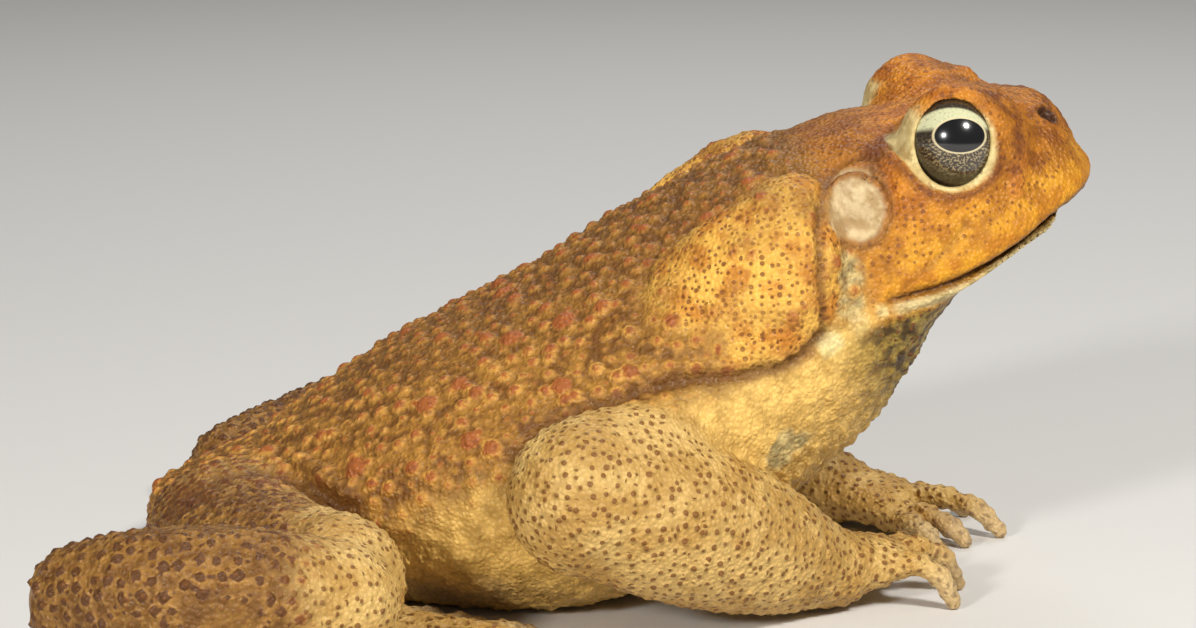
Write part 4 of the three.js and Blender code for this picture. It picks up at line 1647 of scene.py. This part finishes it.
@dataclass(frozen=True)
class SkinFinish:
    """Dry, bumpy skin: ochre and brown above with red-brown warts, cream below, and dotted limbs.

    Attributes:
        effects: the shared effects.
        base: the colours under all others.
        layers: the colours of the parts, each over those before it.
        shades: flat colours over the warts and specks: painted shade in the creases, under the hip's fold and
            along the lids' lower edges, with the head's own dark spots.
        membranes: the smooth lids and eardrums.
        marks: flat colours over everything else: the eardrum's rim, painted shadow in the mouth's slit and in
            the nostrils, and pale fingertips.
        speckled_softness: the width of a speck's soft edge over its size.
        freckled: where the freckles are, and how many.
    """

    effects: Effects
    base: Layer = Layer(Region.BELLY, (0.58, 0.36, 0.075), (0.38, 0.21, 0.04), 8.0)
    layers: tuple[Layer, ...] = (
        Layer(Region.BELLY, (0.82, 0.52, 0.14), (0.58, 0.35, 0.085), 3.0),
        # The back's dark ground between the warts: partly its own colour, partly painted shade between the
        # bumps.
        Layer(Region.BACK, (0.34, 0.16, 0.026), (0.17, 0.07, 0.012), 3.0),
        Layer(Region.GLAND, (0.92, 0.50, 0.085), (0.58, 0.22, 0.024), 3.2),
        Layer(Region.LIMB, (0.66, 0.43, 0.14), (0.50, 0.29, 0.075), 6.0),
        # The rump's dark ground between its warts: partly its own colour, partly painted shade between the
        # bumps.
        Layer(Region.RUMP, (0.29, 0.14, 0.028), (0.16, 0.068, 0.013), 3.0),
        Layer(Region.HEAD, (0.62, 0.23, 0.018), (0.40, 0.12, 0.010), 3.0),
        Layer(Region.CHEEK, (0.68, 0.31, 0.022), (0.44, 0.17, 0.012), 2.6),
        Layer(Region.SNOUT, (0.46, 0.165, 0.012), (0.24, 0.075, 0.007), 2.6),
        Layer(Region.THROAT, (0.34, 0.23, 0.045), (0.06, 0.035, 0.008), 2.2),
        Layer(Region.CREST, (0.70, 0.26, 0.034), (0.44, 0.14, 0.018), 3.0),
        Layer(Region.LIP, (0.72, 0.32, 0.016), (0.52, 0.19, 0.010), 3.2),
        Layer(Region.LOWER_LIP, (0.70, 0.55, 0.26), (0.48, 0.36, 0.14), 2.0),
        Layer(Region.PALE, (0.80, 0.66, 0.30), (0.70, 0.52, 0.18), 2.0),
        Layer(Region.MARBLE, (0.66, 0.50, 0.20), (0.36, 0.27, 0.11), 1.5),
    )
    shades: tuple[Tint, ...] = (
        # Dark red-brown spots, painted shadow under the hip's fold and painted shade along the lids' lower
        # edges.
        Tint(Region.DUSK, (0.13, 0.035, 0.012), 0.8),
        # Painted shade in the creases of the skin.
        Tint(Region.FOLD, (0.15, 0.062, 0.014), 0.85),
    )
    membranes: tuple[Layer, ...] = (
        Layer(Region.LID, (0.72, 0.58, 0.27), (0.54, 0.40, 0.16), 2.4),
        Layer(Region.DRUM, (0.62, 0.48, 0.27), (0.42, 0.28, 0.13), 2.4),
    )
    marks: tuple[Tint, ...] = (
        Tint(Region.RIM, (0.22, 0.10, 0.03), 0.7),
        # Painted shadow in the slit between the lips.
        Tint(Region.GAPE, (0.05, 0.018, 0.008), 0.97),
        # Painted shade inside the nostrils.
        Tint(Region.NOSTRIL, (0.05, 0.018, 0.008), 0.95),
        Tint(Region.TIP, (0.60, 0.47, 0.28), 0.5),
    )
    pores: Speckle = Speckle(0.2, 1.15, 0.9, 0.9, -1.1, (0.17, 0.05, 0.012))
    dots: Speckle = Speckle(0.24, 1.6, 1.0, 0.85, 1.6, (0.20, 0.072, 0.015))
    freckles: Speckle = Speckle(0.2, 1.1, 0.5, 0.9, 0.8, (0.17, 0.05, 0.012))
    speckled_softness: float = 0.4
    freckled: tuple[tuple[Region, float], ...] = (
        (Region.HEAD, 0.75), (Region.BACK, 0.5), (Region.THROAT, 0.5),
    )
    dots_on_rump: float = 0.6
    # Light wart flanks over a dark ground: partly their own colour, partly painted shade between the bumps.
    dome: Colour = (0.72, 0.37, 0.07)
    rump_dome: Colour = (0.50, 0.26, 0.066)
    dome_strength: float = 0.85
    wart_top: Colour = (0.34, 0.088, 0.020)
    rump_top: Colour = (0.085, 0.028, 0.008)
    top_strength: float = 0.92
    # Darker along the top of the back: partly the toad's own colour, partly painted shade.
    dorsum: Colour = (0.15, 0.06, 0.013)
    dorsum_strength: float = 0.45
    shadow: Colour = (0.10, 0.038, 0.010)
    shadow_strength: float = 0.2
    grain_spacing: float = 0.62
    grain_noise: float = 0.55
    membrane_grain: float = 0.12
    skin_grain: float = 0.65
    bump_strength: float = 0.8
    bump_height: float = 0.00022
    roughness: float = 0.40
    line_roughness: float = 0.25
    gloss: float = 0.28
    subsurface: float = 0.04
    subsurface_scale: float = 0.0015
    subsurface_radius: Colour = (1.0, 0.5, 0.25)

    def material(self) -> bpy.types.Material:
        """The skin's material."""
        made = bpy.data.materials.new("toad_skin")
        made.use_nodes = True
        graph = Graph(made.node_tree)
        place = graph.node("ShaderNodeTexCoord", {}).outputs["Object"]
        mask = {region: graph.attribute(region.value) for region in Region}
        colour = self.domed(graph, place, mask, self.ground(graph, place, mask))
        rough_skin = self.without(graph, mask[Region.LID], mask[Region.DRUM])
        bare = self.without(graph, mask[Region.LIP], mask[Region.LOWER_LIP])
        speckles = (
            (self.pores, mask[Region.GLAND]),
            (self.dots, self.dotted(graph, mask)),
            (self.freckles, graph.product(self.freckles_share(graph, mask), bare)),
        )
        grain = graph.group(
            self.effects.grain, place=place, spacing=self.grain_spacing, roughness=self.grain_noise
        )
        share = graph.line(rough_skin, self.skin_grain, self.membrane_grain)
        height = graph.product(grain.outputs["Height"], share)
        for speckle, where in speckles:
            specks = self.specks(graph, place, speckle)
            spotted = graph.product(specks.outputs["Mask"], where, speckle.strength)
            colour = graph.mix(spotted, colour, speckle.colour)
            height = graph.math("ADD", height, graph.product(specks.outputs["Height"], where, speckle.bump))
        # Painted shade in the creases, under the hip's fold and along the lids' edges, over the head's own
        # dark spots.
        colour = self.tinted(graph, mask, colour, self.shades)
        for layer in self.membranes:
            colour = graph.mix(mask[layer.region], colour, self.patch(graph, place, layer))
        colour = self.tinted(graph, mask, colour, self.marks)
        lines = graph.product(grain.outputs["Lines"], rough_skin, self.shadow_strength)
        colour = graph.mix(lines, colour, self.shadow)
        bump = {"Height": height, "Strength": self.bump_strength, "Distance": self.bump_height}
        shader = graph.node("ShaderNodeBsdfPrincipled", {
            "Base Color": colour,
            "Roughness": graph.line(grain.outputs["Lines"], self.line_roughness, self.roughness),
            "Normal": graph.node("ShaderNodeBump", bump).outputs["Normal"],
            "Specular IOR Level": self.gloss,
            "Subsurface Weight": self.subsurface,
            "Subsurface Scale": self.subsurface_scale,
            "Subsurface Radius": self.subsurface_radius,
        })
        graph.node("ShaderNodeOutputMaterial", {"Surface": shader.outputs[0]})
        return made

    def without(self, graph: Graph, first: Socket, second: Socket) -> Socket:
        """One less the greater of two masks, and no less than nought."""
        return graph.math("SUBTRACT", 1.0, graph.math("MAXIMUM", first, second), clamp=True)

    def dotted(self, graph: Graph, mask: dict[Region, Socket]) -> Socket:
        """Where the limbs have dots: all over, and fewer on the rump's side."""
        missing = graph.product(mask[Region.RUMP], 1.0 - self.dots_on_rump)
        return graph.math("SUBTRACT", mask[Region.LIMB], missing)

    def freckles_share(self, graph: Graph, mask: dict[Region, Socket]) -> Socket:
        """The sum of the freckled parts' masks, each times its strength, and no more than one."""
        total: Socket | float = 0.0
        for region, strength in self.freckled:
            total = graph.math("MULTIPLY_ADD", mask[region], strength, total)
        return graph.math("MINIMUM", total, 1.0)

    def specks(self, graph: Graph, place: Socket, speckle: Speckle) -> bpy.types.Node:
        """The node that makes one kind of specks."""
        return graph.group(
            self.effects.specks, place=place, outward=graph.attribute("outward", "Vector"),
            spacing=speckle.spacing, size=speckle.size, softness=speckle.size * self.speckled_softness,
            share=speckle.share,
        )

    def ground(self, graph: Graph, place: Socket, mask: dict[Region, Socket]) -> Socket:
        """The colour of every part under its warts and specks."""
        colour = self.patch(graph, place, self.base)
        for layer in self.layers:
            colour = graph.mix(mask[layer.region], colour, self.patch(graph, place, layer))
        return colour

    def domed(self, graph: Graph, place: Socket, mask: dict[Region, Socket], colour: Socket) -> Socket:
        """The colour with light flanks and dark tops on the warts, over a darker ground between them that is
        partly the skin's own colour and partly painted shade between the bumps; and darker all over along the
        top of the back, partly the toad's own colour and partly painted shade.

        Args:
            graph: the material's graph.
            place: where each spot is on the object.
            mask: the parts of the skin.
            colour: the colour so far.

        Returns:
            The new colour. Each top is made ragged by a mottle, and is stronger on the rump.
        """
        dome = graph.mix(mask[Region.RUMP], self.dome, self.rump_dome)
        # Lighter over the domes, leaving the ground between them dark: partly the warts' own colour, partly
        # painted shade between the bumps.
        domes = graph.range(mask[Region.WART], 0.0, 1.0)
        colour = graph.mix(graph.product(domes, self.dome_strength), colour, dome)
        # Darker along the top of the back: partly the toad's own colour, partly painted shade.
        colour = graph.mix(graph.product(mask[Region.DORSUM], self.dorsum_strength), colour, self.dorsum)
        ragged = graph.group(self.effects.mottle, place=place, size=0.9, detail=2.0, low=0.25, high=0.6)
        share = graph.line(ragged.outputs["Mask"], 0.6, 0.55)
        top = graph.product(mask[Region.PEAK], share, graph.line(mask[Region.RUMP], 1.0, 1.0))
        tip = graph.mix(mask[Region.RUMP], self.wart_top, self.rump_top)
        return graph.mix(graph.product(graph.range(top, 0.0, 0.55), self.top_strength), colour, tip)

    def tinted(
        self, graph: Graph, mask: dict[Region, Socket], colour: Socket, tints: Iterable[Tint]
    ) -> Socket:
        """The colour with flat tints over some parts."""
        for tint in tints:
            colour = graph.mix(graph.product(mask[tint.region], tint.strength), colour, tint.colour)
        return colour

    def patch(self, graph: Graph, place: Socket, layer: Layer) -> Socket:
        """One part's colour, mottled between its light and dark."""
        mottle = graph.group(self.effects.mottle, place=place, size=layer.size, detail=6.0, low=0.4, high=0.6)
        return graph.mix(mottle.outputs["Mask"], layer.light, layer.dark)


@dataclass(frozen=True)
class Oval:
    """An oval on the eyeball's face: its middle and half sizes in millimetres."""

    across: float
    over: float
    wide: float
    high: float

    def share(self, graph: Graph, x: Socket, y: Socket) -> Socket:
        """How far out a place is in the oval, one on its edge: the length of the offset over the sizes."""
        level = graph.math("DIVIDE", graph.math("SUBTRACT", x, self.across), self.wide)
        rise = graph.math("DIVIDE", graph.math("SUBTRACT", y, self.over), self.high)
        return graph.math("SQRT", graph.math("MULTIPLY_ADD", level, level, graph.product(rise, rise)))


@dataclass(frozen=True)
class EyeFinish:
    """A wet eye: a level black pupil ringed with gold, a pale crescent over it and gold flecks below."""

    pupil_shape: Oval = Oval(0.0, 0.0, 3.12, 2.08)
    crescent_shape: Oval = Oval(-0.9, 0.3, 4.65, 3.3)
    iris_shape: Oval = Oval(0.0, 0.0, 5.6, 5.6)
    pupil: Colour = (0.004, 0.004, 0.005)
    ring: Colour = (0.70, 0.60, 0.36)
    ring_strength: float = 0.9
    crescent: Colour = (0.62, 0.62, 0.38)
    dark: Colour = (0.028, 0.018, 0.010)
    flecks: Colour = (0.42, 0.33, 0.17)
    streaks_round: float = 9.0
    streaks_out: float = 6.0

    def material(self) -> bpy.types.Material:
        """The eyeball's material."""
        made = bpy.data.materials.new("toad_eye")
        made.use_nodes = True
        graph = Graph(made.node_tree)
        parts = graph.node("ShaderNodeSeparateXYZ", {"Vector": graph.attribute("iris", "Vector")})
        x, y = parts.outputs["X"], parts.outputs["Y"]
        out = self.pupil_shape.share(graph, x, y)
        streaks = self.streaks(graph, x, y, out)
        below = graph.line(graph.range(y, 0.3, -1.6), 0.8, 0.12)
        inner = graph.range(self.iris_shape.share(graph, x, y), 1.0, 0.62)
        fleck = graph.product(graph.range(streaks, 0.47, 0.62), inner, below)
        colour = graph.mix(fleck, self.dark, self.flecks)
        above = graph.range(self.crescent_shape.share(graph, x, y), 1.04, 0.94)
        speckled = graph.line(graph.range(streaks, 0.30, 0.5), 0.45, 0.55)
        colour = graph.mix(graph.product(above, graph.range(y, 0.5, 1.3), speckled), colour, self.crescent)
        colour = graph.mix(graph.product(graph.range(out, 1.13, 1.07), self.ring_strength), colour, self.ring)
        colour = graph.mix(graph.range(out, 1.04, 0.99), colour, self.pupil)
        shader = graph.node("ShaderNodeBsdfPrincipled", {
            "Base Color": colour,
            "Roughness": 0.18,
            "Specular IOR Level": 0.5,
            "Coat Weight": 1.0,
            "Coat Roughness": 0.02,
            "Coat IOR": 1.45,
        })
        graph.node("ShaderNodeOutputMaterial", {"Surface": shader.outputs[0]})
        return made

    def streaks(self, graph: Graph, x: Socket, y: Socket, out: Socket) -> Socket:
        """Fine noise that varies with the angle round the pupil and the share outwards from it."""
        angle = graph.math("ARCTAN2", y, x)
        polar = graph.node("ShaderNodeCombineXYZ", {
            "X": graph.product(angle, self.streaks_round), "Y": graph.product(out, self.streaks_out),
        })
        noise = {"Vector": polar.outputs[0], "Scale": 1.3, "Detail": 3.0, "Roughness": 0.65}
        return graph.node("ShaderNodeTexNoise", noise).outputs["Fac"]


@dataclass(frozen=True)
class Lamp:
    """A soft round lamp: its angles in degrees, distance and size in metres, power in watts, and colour."""

    azimuth: float
    elevation: float
    distance: float
    size: float
    power: float
    colour: Colour


@dataclass(frozen=True)
class Studio:
    """The plain pale floor, the soft lights and the camera."""

    floor_half: float = 6.0
    floor_strips: int = 8
    floor_colour: Colour = (0.72, 0.71, 0.69)
    target: tuple[float, float, float] = (0.003523, 0.002210, 0.033999)
    azimuth: float = -5.0
    elevation: float = 11.0
    distance: float = 0.480
    lens: float = 111.25
    sensor: float = 36.0
    lamps: tuple[Lamp, ...] = (
        Lamp(36.0, 42.0, 0.75, 0.14, 4.7, (1.0, 0.97, 0.92)),
        Lamp(-36.0, 20.0, 0.90, 0.12, 4.8, (1.0, 0.98, 0.95)),
        Lamp(165.0, 50.0, 0.80, 0.40, 1.6, (0.97, 0.98, 1.0)),
    )
    sky: Colour = (0.84, 0.83, 0.81)
    sky_strength: float = 0.21

    def aim(self, made: bpy.types.Object, azimuth: float, elevation: float, distance: float) -> None:
        """Puts a camera or lamp at these angles, in degrees, and distance from the target, turned to it."""
        turn, lift = math.radians(azimuth), math.radians(elevation)
        level = math.cos(lift)
        back = Vector((math.sin(turn) * level, -math.cos(turn) * level, math.sin(lift)))
        made.location = Vector(self.target) + back * distance
        made.rotation_euler = (-back).to_track_quat("-Z", "Y").to_euler()
        bpy.context.scene.collection.objects.link(made)

    def make_floor(self) -> None:
        """A level square, cut into strips both ways, with a faint tooth."""
        row = self.floor_strips + 1
        lines = np.linspace(-self.floor_half, self.floor_half, row)
        x, y = (grid.ravel() for grid in np.meshgrid(lines, lines, indexing="ij"))
        points = np.stack([x, y, np.zeros_like(x)], axis=1) / MM - MODEL_ORIGIN
        strips = np.arange(self.floor_strips)
        first = (strips[:, None] * row + strips[None]).ravel()
        faces = np.stack([first, first + row, first + row + 1, first + 1], axis=1)
        floor = solid("floor", points, faces, {})
        made = bpy.data.materials.new("floor_paper")
        made.use_nodes = True
        graph = Graph(made.node_tree)
        place = graph.node("ShaderNodeTexCoord", {}).outputs["Object"]
        tooth = graph.node("ShaderNodeTexNoise", {"Vector": place, "Scale": 900.0, "Detail": 2.0})
        bump = {"Height": tooth.outputs["Fac"], "Strength": 0.08, "Distance": 0.0002}
        shader = graph.node("ShaderNodeBsdfPrincipled", {
            "Base Color": self.floor_colour,
            "Roughness": 0.8,
            "Normal": graph.node("ShaderNodeBump", bump).outputs["Normal"],
            "Specular IOR Level": 0.2,
        })
        graph.node("ShaderNodeOutputMaterial", {"Surface": shader.outputs[0]})
        floor.data.materials.append(made)

    def make_lights(self) -> None:
        """Soft round lamps round the model, and an even pale sky."""
        for number, lamp in enumerate(self.lamps):
            light = bpy.data.lights.new(f"softbox_{number}", "AREA")
            light.shape, light.energy, light.color, light.size = "DISK", lamp.power, lamp.colour, lamp.size
            self.aim(bpy.data.objects.new(light.name, light), lamp.azimuth, lamp.elevation, lamp.distance)
        bpy.context.scene.view_settings.view_transform = "Standard"
        world = bpy.data.worlds.new("studio")
        world.use_nodes = True
        background = world.node_tree.nodes["Background"]
        background.inputs["Color"].default_value = (*self.sky, 1.0)
        background.inputs["Strength"].default_value = self.sky_strength
        bpy.context.scene.world = world

    def make_camera(self) -> None:
        """The camera, at the photograph's angle and framing."""
        lens = bpy.data.cameras.new("camera")
        lens.lens, lens.sensor_width = self.lens, self.sensor
        lens.clip_start, lens.clip_end = 0.01, 50.0
        camera = bpy.data.objects.new("camera", lens)
        self.aim(camera, self.azimuth, self.elevation, self.distance)
        bpy.context.scene.camera = camera


def main() -> None:
    """Builds the toad and its studio."""
    logging.basicConfig(level=logging.INFO, format="%(name)s: %(message)s")
    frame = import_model()
    flesh = [name for name in frame["nodes"] if not name.startswith("eye_")]
    skin = Toad(fineness=1.0).make(flesh)
    skin.data.materials.append(SkinFinish(Effects()).material())
    wet = EyeFinish().material()
    for side in Side:
        Eye(side).make().data.materials.append(wet)
    studio = Studio()
    studio.make_floor()
    studio.make_lights()
    studio.make_camera()


if __name__ == "__main__":
    main()
